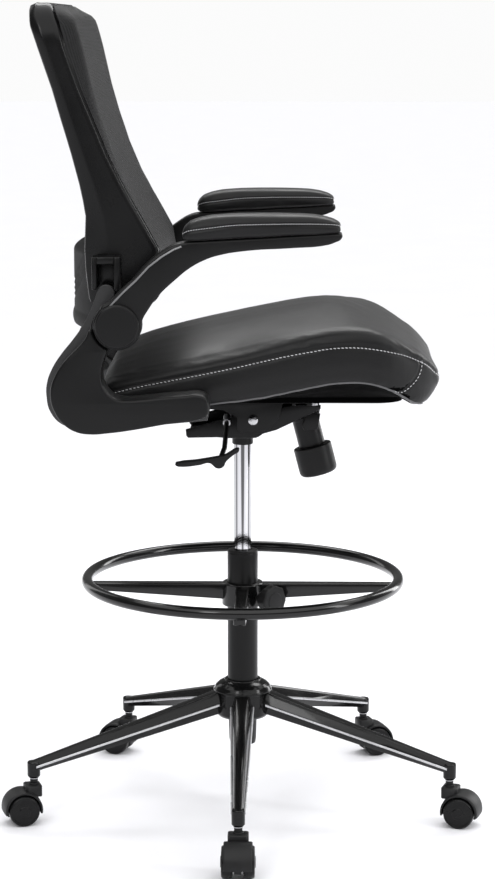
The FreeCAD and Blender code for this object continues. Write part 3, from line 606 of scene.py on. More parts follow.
for i in range(5):
    n = i + 1
    place(hood_shape(i), f"caster_{n}", "hood_plastic", f"caster_{n}_hood")
    place(pins_shape(i), f"caster_{n}", "steel", f"caster_{n}_pins")
    place(wheel_shape(i, -1), f"wheel_{n}a", "wheel_plastic", f"caster_{n}_wheel_a")
    place(wheel_shape(i, 1), f"wheel_{n}b", "wheel_plastic", f"caster_{n}_wheel_b")
print("casters done")

# %% [markdown]
# # Column and gas lift
# The outer tube tapers at its foot to sit in the hub and carries an acetal bush at the top. The chromed
# cylinder slides in the bush, and a rod holds it from inside.

# %% Column tube and bush
bm = bmesh.new()
tube = rounded([(7, 104.2), (21, 104.2), (22.3, 112), (24.9, 205), (25, 425.6), (24.2, 427), (23.1, 427),
                (23, 425), (23, 206), (20.4, 112), (20.4, 108), (7, 108)], 0.6)
lathe(bm, in_mm(tube + tube[:1]), steps=72)
place(finish_mesh(bm, "column tube", COLUMN_PAINT), "base", "column_paint", "column_tube")
bm = bmesh.new()
bush = rounded([(14.06, 372), (22.9, 372), (22.9, 427.2), (24.6, 427.2), (24.7, 428.2), (24.4, 429.9),
                (22.8, 430.6), (16, 430.7), (14.8, 430.4), (14.06, 429.6)], 0.5)
lathe(bm, in_mm(bush + bush[:1]), steps=72)
place(finish_mesh(bm, "column bush", NYLON), "base", "bush_plastic", "column_bush")

# %% Cylinder, rod and valve button
bm = bmesh.new()
# The cylinder's chrome carries painted reflections: by how far each point is turned away from the camera, a
# ramp paints bright and dark bands into the base colour.
CHROME_PAINTED_REFLECTIONS = make_finish("cylinder chrome with painted reflections", 0.46, 0.54, 0.05, 0.09, Metallic=1.0)
painted_reflection_tree = CHROME_PAINTED_REFLECTIONS.node_tree
turned = painted_reflection_tree.nodes.new("ShaderNodeLayerWeight")
turned.inputs["Blend"].default_value = 0.5
painted_reflection_bands = painted_reflection_tree.nodes.new("ShaderNodeValToRGB")
painted_reflection_bands.color_ramp.elements[0].color = grey(0.09)
painted_reflection_bands.color_ramp.elements[1].color = grey(0.05)
for position, tone in ((0.028, 0.12), (0.045, 0.66), (0.2, 0.62), (0.26, 0.16), (0.33, 0.15), (0.4, 0.5),
                       (0.64, 0.46), (0.78, 0.07)):
    painted_reflection_bands.color_ramp.elements.new(position).color = grey(tone)
link(painted_reflection_tree, turned.outputs["Facing"], painted_reflection_bands.inputs["Fac"])
link(painted_reflection_tree, painted_reflection_bands.outputs["Color"], painted_reflection_tree.nodes["Principled BSDF"].inputs["Base Color"])
gas = rounded([(5.1, 330), (12.8, 330), (14, 331.2), (14, 608), (13.2, 640), (4.1, 640), (4.1, 622),
              (0, 622)], 0.5)
lathe(bm, in_mm(gas), steps=72)
place(finish_mesh(bm, "gas cylinder", CHROME_PAINTED_REFLECTIONS), "lift", "chrome", "gas_cylinder")
bm = bmesh.new()
lathe(bm, in_mm(rounded([(0, 631), (4, 631), (4, 648.2), (3, 649.2), (0, 649.2)], 0.4)),
      steps=32)
place(finish_mesh(bm, "valve button", ZINC), "valve", "steel", "valve_button")

# %% [markdown]
# # Foot ring
# A painted tube is bent to a circle and welded to four tapering spokes. Their hub is clamped to the column
# with a screw that ends in a round hand knob.

# %% The hoop
bm = bmesh.new()
hoop_centre = Vector((255 * MM, 0, 382 * MM))
circle = [bm.verts.new(hoop_centre + 9.25 * MM * Vector((math.cos(math.tau * k / 24), 0,
                                                         math.sin(math.tau * k / 24)))) for k in range(24)]
ring_edges = [bm.edges.new((a, b)) for a, b in zip(circle, circle[1:] + circle[:1])]
bmesh.ops.spin(bm, geom=circle + ring_edges, cent=(0, 0, 0), axis=(0, 0, 1), angle=math.tau, steps=144,
               use_merge=True)
place(finish_mesh(bm, "foot ring hoop", RING_PAINT), "foot_ring", "ring_paint", "foot_ring_hoop")

# %% The spider
bm = bmesh.new()
spider_hub = rounded([(25.1, 338), (32, 338), (34, 340), (34, 375), (32, 377), (26.2, 377), (25.1, 376)], 1.0)
lathe(bm, in_mm(spider_hub + spider_hub[:1]), steps=72)
spokes = bmesh.new()
near = [(30, -12, 349), (30, 12, 349), (30, 11, 375), (30, -11, 375)]
far = [(253, -9.6, 363), (253, 9.6, 363), (253, 9, 375.2), (253, -9, 375.2)]
loft(spokes, [[(x * MM, y * MM, z * MM) for x, y, z in near], [(x * MM, y * MM, z * MM) for x, y, z in far]])
bmesh.ops.recalc_face_normals(spokes, faces=spokes.faces)
bevel_sharp(spokes, 2.2 * MM, segments=3)
spoke_mesh = bpy.data.meshes.new("spoke")
spokes.to_mesh(spoke_mesh)
spokes.free()
for k in range(4):
    copy = spoke_mesh.copy()
    copy.transform(spin_z(math.tau * k / 4))
    add_mesh(bm, copy)
place(finish_mesh(bm, "foot ring spider", RING_PAINT), "foot_ring", "ring_paint", "foot_ring_spider")

# %% [markdown]
# The hand knob has eight soft finger scallops around its rim.

# %% The clamp knob
def scalloped_knob(radius, low, high, lobes, dip, soft, matrix, steps=96):
    """Round knob drawn about +Z with a wavy rim, rounded at both faces."""
    bm = bmesh.new()
    profile = [(0.0, low), (radius - 3 * soft, low), (radius - soft, low + 0.25 * soft), (radius, low + soft),
               (radius, high - soft), (radius - soft, high - 0.25 * soft), (radius - 3 * soft, high),
               (0.0, high)]
    lathe(bm, in_mm(profile), steps=steps)
    for vert in bm.verts:
        reach = math.hypot(vert.co.x, vert.co.y)
        if reach > (radius - 3.5 * soft) * MM:
            wave = 0.5 - 0.5 * math.cos(lobes * math.atan2(vert.co.y, vert.co.x))
            vert.co.xy = vert.co.xy * (1 - dip * wave * MM / reach)
    bmesh.ops.transform(bm, matrix=matrix, verts=bm.verts)
    return bm


knob_axis = Vector((math.cos(math.radians(-45)), math.sin(math.radians(-45)), 0))
knob_matrix = axis_matrix((0, 0, 355 * MM), knob_axis)
bm = scalloped_knob(26, 61, 76, 8, 1.6, 1.6, knob_matrix)
lathe(bm, in_mm(rounded([(0, 44), (11, 44), (12, 45), (14, 61.5), (0, 61.5)], 0.6)),
      knob_matrix, steps=40)
lathe(bm, in_mm(rounded([(0, 75.5), (15, 75.9), (14, 77), (0, 77.4)], 0.4)),
      knob_matrix, steps=40)
knob_height = Vector((0, 0, 355 * MM))
bar(bm, 4 * MM, knob_height + knob_axis * 26.3 * MM, knob_height + knob_axis * 50 * MM)
place(finish_mesh(bm, "foot ring knob", NYLON), "ring_knob", "nylon", "foot_ring_knob")
print("base, column and foot ring done")

# %% [markdown]
# # Tilt mechanism
# Under the seat sits a folded steel tray. Its sides are cut from sheet, so they show the outline of the
# steel and two pressed bends where the tray narrows to the front.

# %% Tray
tray_outline = [(-90, 640), (-89, 629), (-86, 626), (-40, 627), (-22, 625.6), (20, 626), (27, 628), (34, 633),
                (55, 639), (78, 650), (93, 658), (123, 671), (126, 674), (126, 680), (90, 680), (18, 668),
                (-36, 655)]


def side_wall(bm, points, y0, y1, soft=0.8):
    """Sheet wall with an outline in side view."""
    part = bmesh.new()
    loft(part, [[(x * MM, y * MM, z * MM) for x, z in points] for y in (y0, y1)])
    bmesh.ops.recalc_face_normals(part, faces=part.faces)
    bevel_sharp(part, soft * MM, segments=2, angle=20)
    gather(bm, part)


def floor_strip(bm, points, half, thickness=3, soft=0.8):
    """Sheet that follows a line in side view across the tray."""
    part = bmesh.new()
    loops = []
    for x, z in points:
        loops.append([(x * MM, -half * MM, z * MM), (x * MM, half * MM, z * MM),
                      (x * MM, half * MM, (z + thickness) * MM), (x * MM, -half * MM, (z + thickness) * MM)])
    loft(part, loops)
    bmesh.ops.recalc_face_normals(part, faces=part.faces)
    bevel_sharp(part, soft * MM, segments=2, angle=50)
    gather(bm, part)


bm = bmesh.new()
for side in (-1, 1):
    side_wall(bm, tray_outline, side * 63, side * 66)
    side_wall(bm, [(-8, 640), (0, 633.5), (30, 634), (42, 641), (42, 660), (-8, 660)], side * 66, side * 68.6)
floor_strip(bm, [(-86, 626), (-40, 627), (-21, 626), (23, 626), (33, 633), (55, 639), (78, 650), (93, 658),
                 (124, 672)], 65)
collar = rounded([(14.06, 606), (15.8, 606), (17, 607.2), (17, 616), (20.8, 625), (21, 636),
                 (14.06, 636)], 0.8)
lathe(bm, in_mm(collar + collar[:1]), steps=64)
front_cheek = [(96, 640), (100, 632), (122, 634), (126, 660), (104, 662)]
for side in (-1, 1):
    side_wall(bm, front_cheek, side * 24, side * 27, soft=0.8)

# %% [markdown]
# At the front a tube leans forward; it holds the spring that sets how hard the seat tilts, and the knob
# below turns its screw.

# %% Tension tube and knob
LEAN = math.radians(14.5)
tension_axis = Vector((math.sin(LEAN), 0, -math.cos(LEAN)))
tension_top = Vector((113, 0, 604)) * MM
tension_matrix = axis_matrix(tension_top, tension_axis)
tube = rounded([(18.5, 5), (21.5, 5), (21.5, -44), (22.6, -47), (22.6, -50), (18.5, -50)], 0.8)
lathe(bm, in_mm(tube + tube[:1]), tension_matrix, steps=64)
place(finish_mesh(bm, "tilt tray", MECHANISM_PAINT, sharp=40), "mechanism", "mech_paint", "tilt_housing")

bm = bmesh.new()
knob = [(0, 10), (21.9, 10), (21.9, 0.6), (22.6, 0), (29.4, 0), (30.7, 0.8), (31, 2.2), (31, 40), (30, 44),
        (27.5, 46.8), (24, 48), (0, 48)]
lathe(bm, in_mm(rounded(knob, 1.6, steps=4)), tension_matrix, steps=96)
bar(bm, 5 * MM, tension_top + tension_axis * 9 * MM, tension_top - tension_axis * 34 * MM)
place(finish_mesh(bm, "tension knob", NYLON, sharp=50), "tension", "nylon", "tension_knob")

# %% Seat plate
bm = bmesh.new()
loft(bm, [[(x * MM, y * MM, z * MM) for x, y in
           [(-110, -77), (-102, -85), (122, -85), (130, -77), (130, 77), (122, 85), (-102, 85), (-110, 77)]]
          for z in (685, 691)])
bmesh.ops.recalc_face_normals(bm, faces=bm.faces)
bevel_sharp(bm, 1.4 * MM, segments=3, angle=40)
for side in (-1, 1):
    side_wall(bm, [(-84, 675), (-30, 672), (-8, 660), (-8, 642), (0, 634), (44, 640), (60, 660), (66, 685.4),
                   (-84, 685.4)], side * 69, side * 72)
    for x in (-84, -60, 80, 104):
        side_wall(bm, [(x, 681), (x + 6, 681), (x + 6, 685.4), (x, 685.4)], side * 50, side * 82, soft=0.5)
place(finish_mesh(bm, "seat plate", MECHANISM_PAINT, sharp=40), "seat", "mech_paint", "seat_plate")

# %% Pivot pin, rocker and spring
bm = bmesh.new()
bar(bm, 5 * MM, (18 * MM, -76 * MM, 656 * MM), (18 * MM, 76 * MM, 656 * MM))
for side in (-1, 1):
    head = rounded([(0, 73), (8.2, 73), (8.2, 74.6), (6.6, 76.2), (3.6, 77.1), (0, 77.4)], 0.8)
    lathe(bm, in_mm(head), axis_matrix((18 * MM, 0, 656 * MM), (0, side, 0)), steps=40)
place(finish_mesh(bm, "pivot pin", CHROME), "mechanism", "chrome", "pivot_pin")

# %% [markdown]
# The height lever is a bent rod in a sleeve; its flat paddle sits within reach of the right hand.

# %% Lever
def lever_point(y):
    return Vector((-24, y, 654.5 + 0.1436 * (y + 58))) * MM


bm = bmesh.new()
bend = lever_point(-204)
bar(bm, 4 * MM, lever_point(-48), bend)
bar(bm, 4 * MM, bend, Vector((-30, -229, 620)) * MM)
bmesh.ops.create_icosphere(bm, subdivisions=3, radius=4.02 * MM, matrix=Matrix.Translation(bend))
place(finish_mesh(bm, "lever rod", MECHANISM_PAINT), "lever", "mech_paint", "lever_rod")

paddle_outline = [(-99, 613.5), (-97, 610.5), (-90, 609.3), (-62, 612), (-46, 615), (-41, 611.5), (-37, 608),
                  (-30, 607), (-24.5, 610), (-21, 617), (-9, 628), (-1.2, 633.6), (-1, 636.6), (-5, 637.4),
                  (-14, 632.5), (-24, 627), (-38, 624), (-68, 619), (-93, 616)]
bm = bmesh.new()
add_mesh(bm, outline_mesh(in_mm(paddle_outline), (-240 * MM, -221 * MM), 2.2 * MM))
place(finish_mesh(bm, "lever paddle", NYLON, sharp=50), "lever", "nylon", "lever_paddle")
print("mechanism done")

# %% [markdown]
# # Arms
# On each side a flat bar rises to the back. Beside it runs a broad J-shaped bracket that carries the arm's
# pivot, and the arm sweeps up and forward to its pad.

# %% J-shaped bracket
bracket_outline = [(-196, 806), (-208, 822), (-218, 836), (-221.5, 829), (-228, 818), (-239, 804),
                   (-254, 789), (-266, 775), (-275, 760), (-281, 744), (-282, 725), (-276, 705),
                   (-262, 686), (-244, 675), (-223, 671.5), (-195, 673.4), (-167, 677), (-111, 687),
                   (-52, 697), (-46, 702), (-45, 716), (-48, 727), (-58, 732), (-85, 731), (-111, 729),
                   (-140, 726), (-167, 724), (-180, 725), (-190, 729.5), (-199, 739), (-204.5, 752),
                   (-204.6, 768), (-201, 784)]


pivot_x, pivot_z = -181, 835


def bracket_head(bm, side):
    """Round head behind the arm's root, with a bushing for the pin."""
    start = axis_matrix((pivot_x * MM, 0, pivot_z * MM), (0, side, 0))
    head = rounded([(8.1, 274), (33, 274), (36, 277), (36, 295), (34.6, 296.9), (8.1, 296.9)], 1.5)
    lathe(bm, in_mm(head + head[:1]), start, steps=72)


# %% [markdown]
# The bracket's full width ends below the pivot in a curved seat around the arm's root, so that the root
# can turn in it. The seat is cut by bending the outline's end around the pivot.

# %% Brackets on both sides
def bracket_points(radius, ahead):
    """The J outline with its upper end scooped out around the pivot."""
    body = [p for p in bracket_outline if math.dist(p, (pivot_x, pivot_z)) > radius + 1.0]
    arc = []
    for k in range(9):
        a = math.radians(198 + (ahead - 198) * k / 8)
        arc.append((pivot_x + radius * math.cos(a), pivot_z + radius * math.sin(a)))
    return arc, body


def bracket_shape(side, name):
    arc, body = bracket_points(38, 244)
    lower = sorted(body, key=lambda p: bracket_outline.index(p))
    points = arc[::-1] + lower
    bm = bmesh.new()
    low, high = sorted((side * 262.2 * MM, side * 318 * MM))
    add_mesh(bm, outline_mesh(in_mm(points), (low, high), 4.5 * MM))
    bracket_head(bm, side)
    neck = [(-222, 834), (-214, 812), (-200, 790), (-180, 800), (-170, 830), (-196, 860)]
    add_mesh(bm, outline_mesh(in_mm(neck),
                              tuple(sorted((side * 275 * MM, side * 296 * MM))), 2 * MM))
    return finish_mesh(bm, name, ARM_NYLON, sharp=50)


SIDES = (("right", -1), ("left", 1))
for name, side in SIDES:
    place(bracket_shape(side, f"arm bracket {name}"), "seat", "arm_plastic", f"arm_bracket_{name}")

# %% [markdown]
# The flip-up arm is one long moulding. Around the pivot only its outer half is left, a round root under a
# smooth cap.

# %% Flip-up arms
arm_outline = [(-206, 861), (-193, 872), (-175, 890.5), (-157, 906.5), (-137, 928.5), (-117, 944.5),
               (-96, 956.5), (-74, 961.6, 0), (40, 967.8, 0), (150, 973.6), (153.6, 972), (152, 965.5),
               (143, 960.5), (132, 956.8), (78, 952), (13, 948), (-30, 941), (-52, 933.4), (-74, 921),
               (-93, 905.5), (-118, 882), (-135, 859), (-144.4, 841), (-145.4, 829), (-149.5, 817),
               (-157, 808, 0)]


def arm_root(bm, side):
    start = axis_matrix((pivot_x * MM, 0, pivot_z * MM), (0, side, 0))
    root = rounded([(8.1, 298.2), (34.6, 298.2), (36, 299.6), (36, 316.2), (34.4, 318), (8.1, 318)], 1.2)
    lathe(bm, in_mm(root + root[:1]), start, steps=72)


def arm_shape(side, name):
    """The beam is full width beyond the pivot and slims to its outer half around it."""
    bm = bmesh.new()
    beyond = [p for p in arm_outline if math.dist(p[:2], (pivot_x, pivot_z)) > 45]
    scoop = []
    for k in range(9):
        a = math.radians(42 + 38 * k / 8)
        scoop.append((pivot_x + 44.5 * math.cos(a), pivot_z + 44.5 * math.sin(a), 0))
    inner_points = [p for p in beyond if p[0] > -178 and not (p[0] < -100 and p[1] < 895)]
    inner_points += [(-108, 893.5, 0), (-128, 879, 0)] + scoop
    low, high = sorted((side * 276 * MM, side * 300 * MM))
    add_mesh(bm, outline_mesh(in_mm(inner_points), (low, high),
                              3 * MM))
    low, high = sorted((side * 298.4 * MM, side * 318 * MM))
    add_mesh(bm, outline_mesh(in_mm(arm_outline), (low, high),
                              4 * MM))
    arm_root(bm, side)
    # A band along the upper outer edge of the rising arm takes the second finish, the painted edge highlight.
    band = bmesh.new()
    edge = [(-199, 863.5), (-190, 874), (-173, 891.5), (-156, 907), (-136.5, 928), (-116.5, 943.5),
            (-97, 955), (-86, 959)]
    rings = []
    for k, (x, z) in enumerate(edge):
        before, after = edge[max(k - 1, 0)], edge[min(k + 1, len(edge) - 1)]
        run = Vector((after[0] - before[0], after[1] - before[1])).normalized()
        inward = Vector((run.y, -run.x))
        rings.append([((x + inward.x * a) * MM, side * y * MM, (z + inward.y * a) * MM)
                      for a, y in ((0.6, 311), (0.4, 315.4), (4.9, 319.2), (6.1, 319.2), (6.6, 317))])
    loft(band, rings)
    bmesh.ops.recalc_face_normals(band, faces=band.faces)
    for face in band.faces:
        face.material_index = 1
    gather(bm, band)
    arm = finish_mesh(bm, name, ARM_NYLON, sharp=50)
    arm.data.materials.append(ARM_EDGE_HIGHLIGHT)
    return arm


for name, side in SIDES:
    place(arm_shape(side, f"flip arm {name}"), f"arm_{name}", "arm_plastic", f"flip_arm_{name}")

# %% Caps over the pivots
bm = bmesh.new()
for side in (-1, 1):
    cap = rounded([(0, 318.4), (32.4, 318.4), (33, 319.2), (33, 322.4), (31.6, 324.4), (29.6, 325),
                  (28.6, 324.7), (27.6, 324.9), (0, 325.6)], 0.7)
    lathe(bm, in_mm(cap), axis_matrix((pivot_x * MM, 0, pivot_z * MM), (0, side, 0)),
          steps=72)
place(finish_mesh(bm, "pivot caps", ARM_NYLON, sharp=40), "seat", "arm_plastic", "pivot_caps")
bm = bmesh.new()
for side in (-1, 1):
    pin = rounded([(0, 267), (13, 267), (13, 273.6), (8, 274), (8, 318.2), (0, 318.2)], 0.6)
    lathe(bm, in_mm(pin), axis_matrix((pivot_x * MM, 0, pivot_z * MM), (0, side, 0)),
          steps=40)
place(finish_mesh(bm, "pivot pins", ZINC), "seat", "steel", "pivot_pins")

# %% [markdown]
# The bars that hold the back are flat steel. They follow the J-shaped brackets at a small distance and
# plug into the back frame.

# %% Bars to the back
bar_outline = [(-206, 891), (-212, 886), (-219.5, 866), (-227, 848), (-238, 828), (-253, 807), (-270, 786),
               (-284, 764), (-292, 742), (-293, 722), (-287, 697), (-268, 677.5), (-240, 672), (-167, 673),
               (-111, 679), (-48, 685, 0), (-48, 700, 0), (-170, 698), (-212, 701), (-240, 715),
               (-252, 738), (-245, 763), (-226, 790), (-207, 818), (-195, 845), (-190, 870), (-190, 886),
               (-196, 891)]


bm = bmesh.new()
for side in (-1, 1):
    low, high = sorted((side * 252 * MM, side * 262 * MM))
    add_mesh(bm, outline_mesh(in_mm(bar_outline), (low, high),
                              1.0 * MM))
    flange = bmesh.new()
    loft(flange, [[(x * MM, side * y * MM, z * MM) for x, y in
                   [(-142, 88), (-56, 88), (-48, 96), (-48, 261), (-150, 261), (-150, 96)]]
                  for z in (685.2, 691)])
    bmesh.ops.recalc_face_normals(flange, faces=flange.faces)
    bevel_sharp(flange, 1 * MM, segments=2, angle=40)
    gather(bm, flange)
place(finish_mesh(bm, "back bars", BAR_PAINT, sharp=40), "seat", "mech_paint", "back_brackets")
print("arms and bars done")

# %% [markdown]
# # Back
# The back's frame is a deep moulding whose front edge follows the sitter's spine. Each stile is a row of
# sections: narrow at the rear, a ridge along the side, and a rounded front rim that carries the mesh.

# %% Numbers of the back
# height, rear edge, front edge at the outside, front edge at the inside
stile_stations = [
    (862, -228, -160, -150), (868, -230, -150, -140), (885, -232, -136, -126), (915, -235, -124, -116),
    (943, -236, -126, -121), (967, -235, -139, -134), (992, -234, -153, -148), (1016, -238, -167, -160),
    (1040, -243, -180, -173), (1063, -249, -191.5, -182.5), (1086, -255, -203, -192),
    (1112, -262.5, -213.5, -200.5), (1137, -270, -224, -209), (1160, -276.5, -233.5, -215.5),
    (1183, -283, -243, -222), (1214, -293.5, -254, -229), (1245, -304, -265, -236), (1264, -310, -270, -241)]


def front_line(height):
    """The front edge at a height, at the outside and the inside."""
    rows = stile_stations + [(1281, -316, -275, -246), (1308, -318, -285, -254)]
    for low, high in zip(rows, rows[1:]):
        if height <= high[0]:
            t = (height - low[0]) / (high[0] - low[0])
            return [low[k] + t * (high[k] - low[k]) for k in (1, 2, 3)]
    return rows[-1][1:]


# %% [markdown]
# The frame runs up one stile, across the top and down the other in one sweep, so its corners are truly
# round. A section is carried along that path and takes its depth from the height it is at.

# %% The sweep of the frame
def frame_path():
    """Points (y, z, outward y, outward z) along the middle of the frame, from right foot to left foot."""
    points = []
    half = 217.0
    crown = 1287.0
    bend = 37.0
    for z in [row[0] for row in stile_stations if row[0] < crown - bend]:
        points.append((-half, z, -1.0, 0.0))
    for k in range(11):
        a = math.radians(180 - 9 * k)
        points.append((-half + bend + bend * math.cos(a), crown - bend + bend * math.sin(a),
                       math.cos(a), math.sin(a)))
    for y in (-110, -55, 0):
        points.append((y, crown, 0.0, 1.0))
    return points + [(-y, z, -oy, oz) for y, z, oy, oz in points[-2::-1]]


def frame_section(rear, front_out, front_in, outward_room):
    """Section as (across, depth): across runs outward from the middle of the frame."""
    edge = outward_room
    face = front_in - 3.2
    ridge = rear + 0.34 * (front_out - rear)
    return [(-13, face - 7), (-13, rear + 2), (-11.5, rear), (edge - 9, rear), (edge - 4.5, rear + 2.5),
            (edge - 1.2, ridge - 2.5), (edge, ridge), (edge - 0.6, ridge + 3), (edge - 0.4, front_out - 8),
            (edge - 0.8, front_out - 2.5), (edge - 3.5, front_out + 0.8), (edge - 8, front_out + 3.4),
            (0, (front_out + face) / 2 + 1.6), (-8, face + 0.2), (-12, face - 1.5)]


def frame_shape():
    bm = bmesh.new()
    loops = []
    for y, z, oy, oz in frame_path():
        rear, front_out, front_in = front_line(z + 13 * oz)
        room = 13 + 12 * max(0.0, oz) ** 2
        loop = []
        for across, depth in frame_section(rear, front_out, front_in, room):
            height = z + across * oz
            shift = front_line(height)[2] - front_in
            loop.append(((depth + 0.8 * shift) * MM, (y + across * oy) * MM, height * MM))
        loops.append(loop)
    loft(bm, loops)
    return bm


bm = frame_shape()

# %% [markdown]
# A cross rail closes the frame below, and a box on each stile takes the end of the steel bar.

# %% Lower rail and bar boxes
rail = bmesh.new()
rail_section = [(-211, 867), (-211, 893), (-205, 896), (-150, 899), (-140, 898), (-134.5, 892), (-134.5, 884),
                (-141, 874), (-150, 867.5), (-160, 866)]
loft(rail, [[(x * MM, y * MM, z * MM) for x, z in rail_section] for y in (-206, -120, 0, 120, 206)])
gather(bm, rail)
for side in (-1, 1):
    box_bm = bmesh.new()
    outside = [(-222, 884), (-179, 884), (-179, 934), (-222, 934)]
    inside = [(-214.4, 884), (-188.6, 884), (-188.6, 923), (-214.4, 923)]
    for x0, x1, z0, z1 in ((-222, -214.4, 884, 934), (-188.6, -179, 884, 934), (-215, -188, 923, 934)):
        side_wall(box_bm, [(x0, z0), (x1, z0), (x1, z1), (x0, z1)], side * 229, side * 267, soft=1.6)
    side_wall(box_bm, [(-221, 885), (-180, 885), (-180, 933), (-221, 933)], side * 228, side * 236, soft=0.5)
    gather(bm, box_bm)
place(finish_mesh(bm, "back frame", FRAME_NYLON, sharp=55), "seat", "frame_plastic", "back_frame")

# %% [markdown]
# The mesh is stretched over the frame's front rim, so it hollows a little between the stiles. It is one
# sheet a few millimetres inside the frame's outline.

# %% The mesh
def rim_distance(y, z):
    """How far a point of the back lies inside the frame's outline."""
    past_y = abs(y) - (230 - 38)
    past_z = z - (1313 - 38)
    if past_y > 0 and past_z > 0:
        return 38 - math.hypot(past_y, past_z)
    return min(230 - abs(y), 1313 - z)


def mesh_sheet():
    bm = bmesh.new()
    rows = []
    across = 48
    for k in range(61):
        z = 864 + (1308.5 - 864) * k / 60
        corner = max(0.0, z - (1308.5 - 36))
        half = 222 - (36 - math.sqrt(max(0.0, 36 ** 2 - corner ** 2)))
        _, outside, inside = front_line(z)
        row = []
        for i in range(across + 1):
            u = -1 + 2 * i / across
            u = u * (1.5 - 0.5 * u * u)
            hollow = 1.3 * (1 - u ** 4) * math.sin(math.pi * min(1.0, max(0.0, (z - 864) / 440)))
            rim = min(1.0, max(0.0, (26 - rim_distance(half * u, z)) / 18))
            front = inside + (outside + 4.6 - inside) * rim ** 1.8
            row.append(bm.verts.new(((front - 0.4 - hollow) * MM, half * u * MM, z * MM)))
        rows.append(row)
    for low, high in zip(rows, rows[1:]):
        for i in range(across):
            bm.faces.new((low[i], low[i + 1], high[i + 1], high[i]))
    bmesh.ops.solidify(bm, geom=bm.faces[:], thickness=0.0016)
    return bm


mesh_piece = finish_mesh(mesh_sheet(), "back mesh", MESH_CLOTH, sharp=60)
place(mesh_piece, "seat", "mesh_cloth", "back_mesh")

# %% [markdown]
# The lumbar shell bows out to the rear between the stiles. Four curved ribs cross it and rise towards the
# stiles, and its corners are rounded.

# %% Lumbar shell
def shell_depth(y):
    """The shell bows rearwards like an arc between the stiles."""
    return -270 + 54 * (y / 204) ** 2


def shell_shape():
    bm = bmesh.new()
    loops = []
    for k in range(65):
        y = -204 + 408 * k / 64
        corner = max(0.0, abs(y) - 188) / 16
        outer = []
        for step in range(58):
            z = 812 + 2.45 * step
            swept = z - 52 * (y / 150) ** 2
            grooves = sum(math.exp(-((swept - start) / 2.3) ** 2) for start in (848, 857, 866, 875))
            lobe = 2.6 * max(0.0, 1 - ((z - 822) / 12) ** 2)
            curl = 0.062 * max(0.0, z - 926) ** 2
            depth = min(shell_depth(y) + 1.9 * grooves - lobe + curl, -222)
            height = 872 + (z - 872) * (1 - 0.13 * corner ** 2)
            outer.append((depth * MM, y * MM, height * MM))
        inner = [(min(shell_depth(y) + gap, -218.5) * MM, y * MM, z * MM)
                 for gap, z in ((46, 949), (30, 940), (12, 928), (5, 915), (5, 870), (5, 814))]
        loops.append(outer + inner)
    loft(bm, loops)
    return bm


place(finish_mesh(shell_shape(), "lumbar shell", SHELL_NYLON, sharp=60), "seat", "frame_plastic",
      "lumbar_shell")
print("back done")

# %% [markdown]
# # Seat
# The cushion swells over a plywood board. It is drawn as a row of cross-sections from the rear to the front
# lip; the sections share one count of points, so the seams run along the same points in every section.

# %% Cushion outline
# x, lower edge at the side, seam at the side, top in the middle, half width
seat_stations = [
    (-214, 693, 711, 733, 236), (-210, 690, 719, 748, 240), (-196, 688, 726, 764, 241.5),
    (-150, 691, 737, 782, 241), (-120, 694, 743, 791, 242), (-90, 697, 749, 799, 242),
    (-57, 700, 755.5, 807, 242), (-25, 704, 762, 814, 242), (8, 708, 769.5, 821, 242),
    (40, 713, 777, 827, 242), (72, 720, 784, 833, 242), (105, 727, 790, 838, 242),
    (133, 733, 795, 839.5, 242), (160, 736, 797, 837, 242), (181, 736.5, 797, 830, 241.5),
    (200, 734, 795, 821, 240.5), (219, 729, 792, 813, 238), (235, 721, 788, 805, 232),
    (250, 711, 784, 796, 223), (262, 702, 779, 788, 214), (275, 696, 772, 780, 203),
    (284, 697, 767, 773, 193), (293, 703, 760, 765, 182), (300, 711, 753, 757, 172),
    (306, 720, 746, 749, 164), (310.5, 729, 739, 742, 158)]


def seat_ring(x, low, seam, top, half):
    """One cross-section: base, side border, seam, a roll above the seam and a crowned top panel."""
    base = 703.5 if x < 262 else low + 1.0
    side_low = low
    border = seam - side_low
    roll = (18.0 + 5.0 * min(1.0, max(0.0, x / 160))) * min(1.0, max(0.15, (top - seam) / 24))
    slope = 0.5 * (base + side_low) + 1.5
    right = [(-0.52, base), (-0.74, slope), (-0.945, side_low), (-0.985, side_low + 0.12 * border),
             (-1.006, side_low + 0.5 * border), (-1.004, seam - 0.2 * border), (-0.992, seam)]
    right += [(-0.99, seam + 0.25 * roll), (-0.975, seam + 0.62 * roll), (-0.955, seam + 0.86 * roll),
              (-0.93, seam + roll), (-0.905, seam + 1.02 * roll)]
    for u in (-0.87, -0.8, -0.7, -0.56, -0.38, -0.14):
        right.append((u, seam + roll + (top - seam - roll) * (1 - (abs(u) / 0.905) ** 2.2)))
    ring = right + [(-u, z) for u, z in right[::-1]]
    ring += [(0.36, base), (0.12, base), (-0.12, base), (-0.36, base)]
    return [(x * MM, half * u * MM, z * MM) for u, z in ring]


bm = bmesh.new()
loft(bm, [seat_ring(*row) for row in seat_stations])
bmesh.ops.recalc_face_normals(bm, faces=bm.faces)
print("sections in the cushion:", len(seat_stations))

# %% [markdown]
# ## Filling a cover
# A cushion's cover is cloth that the foam presses outwards. The drawn shape is re-meshed evenly, a cloth
# simulation swells it for a few frames, and no point may move further than the cap.

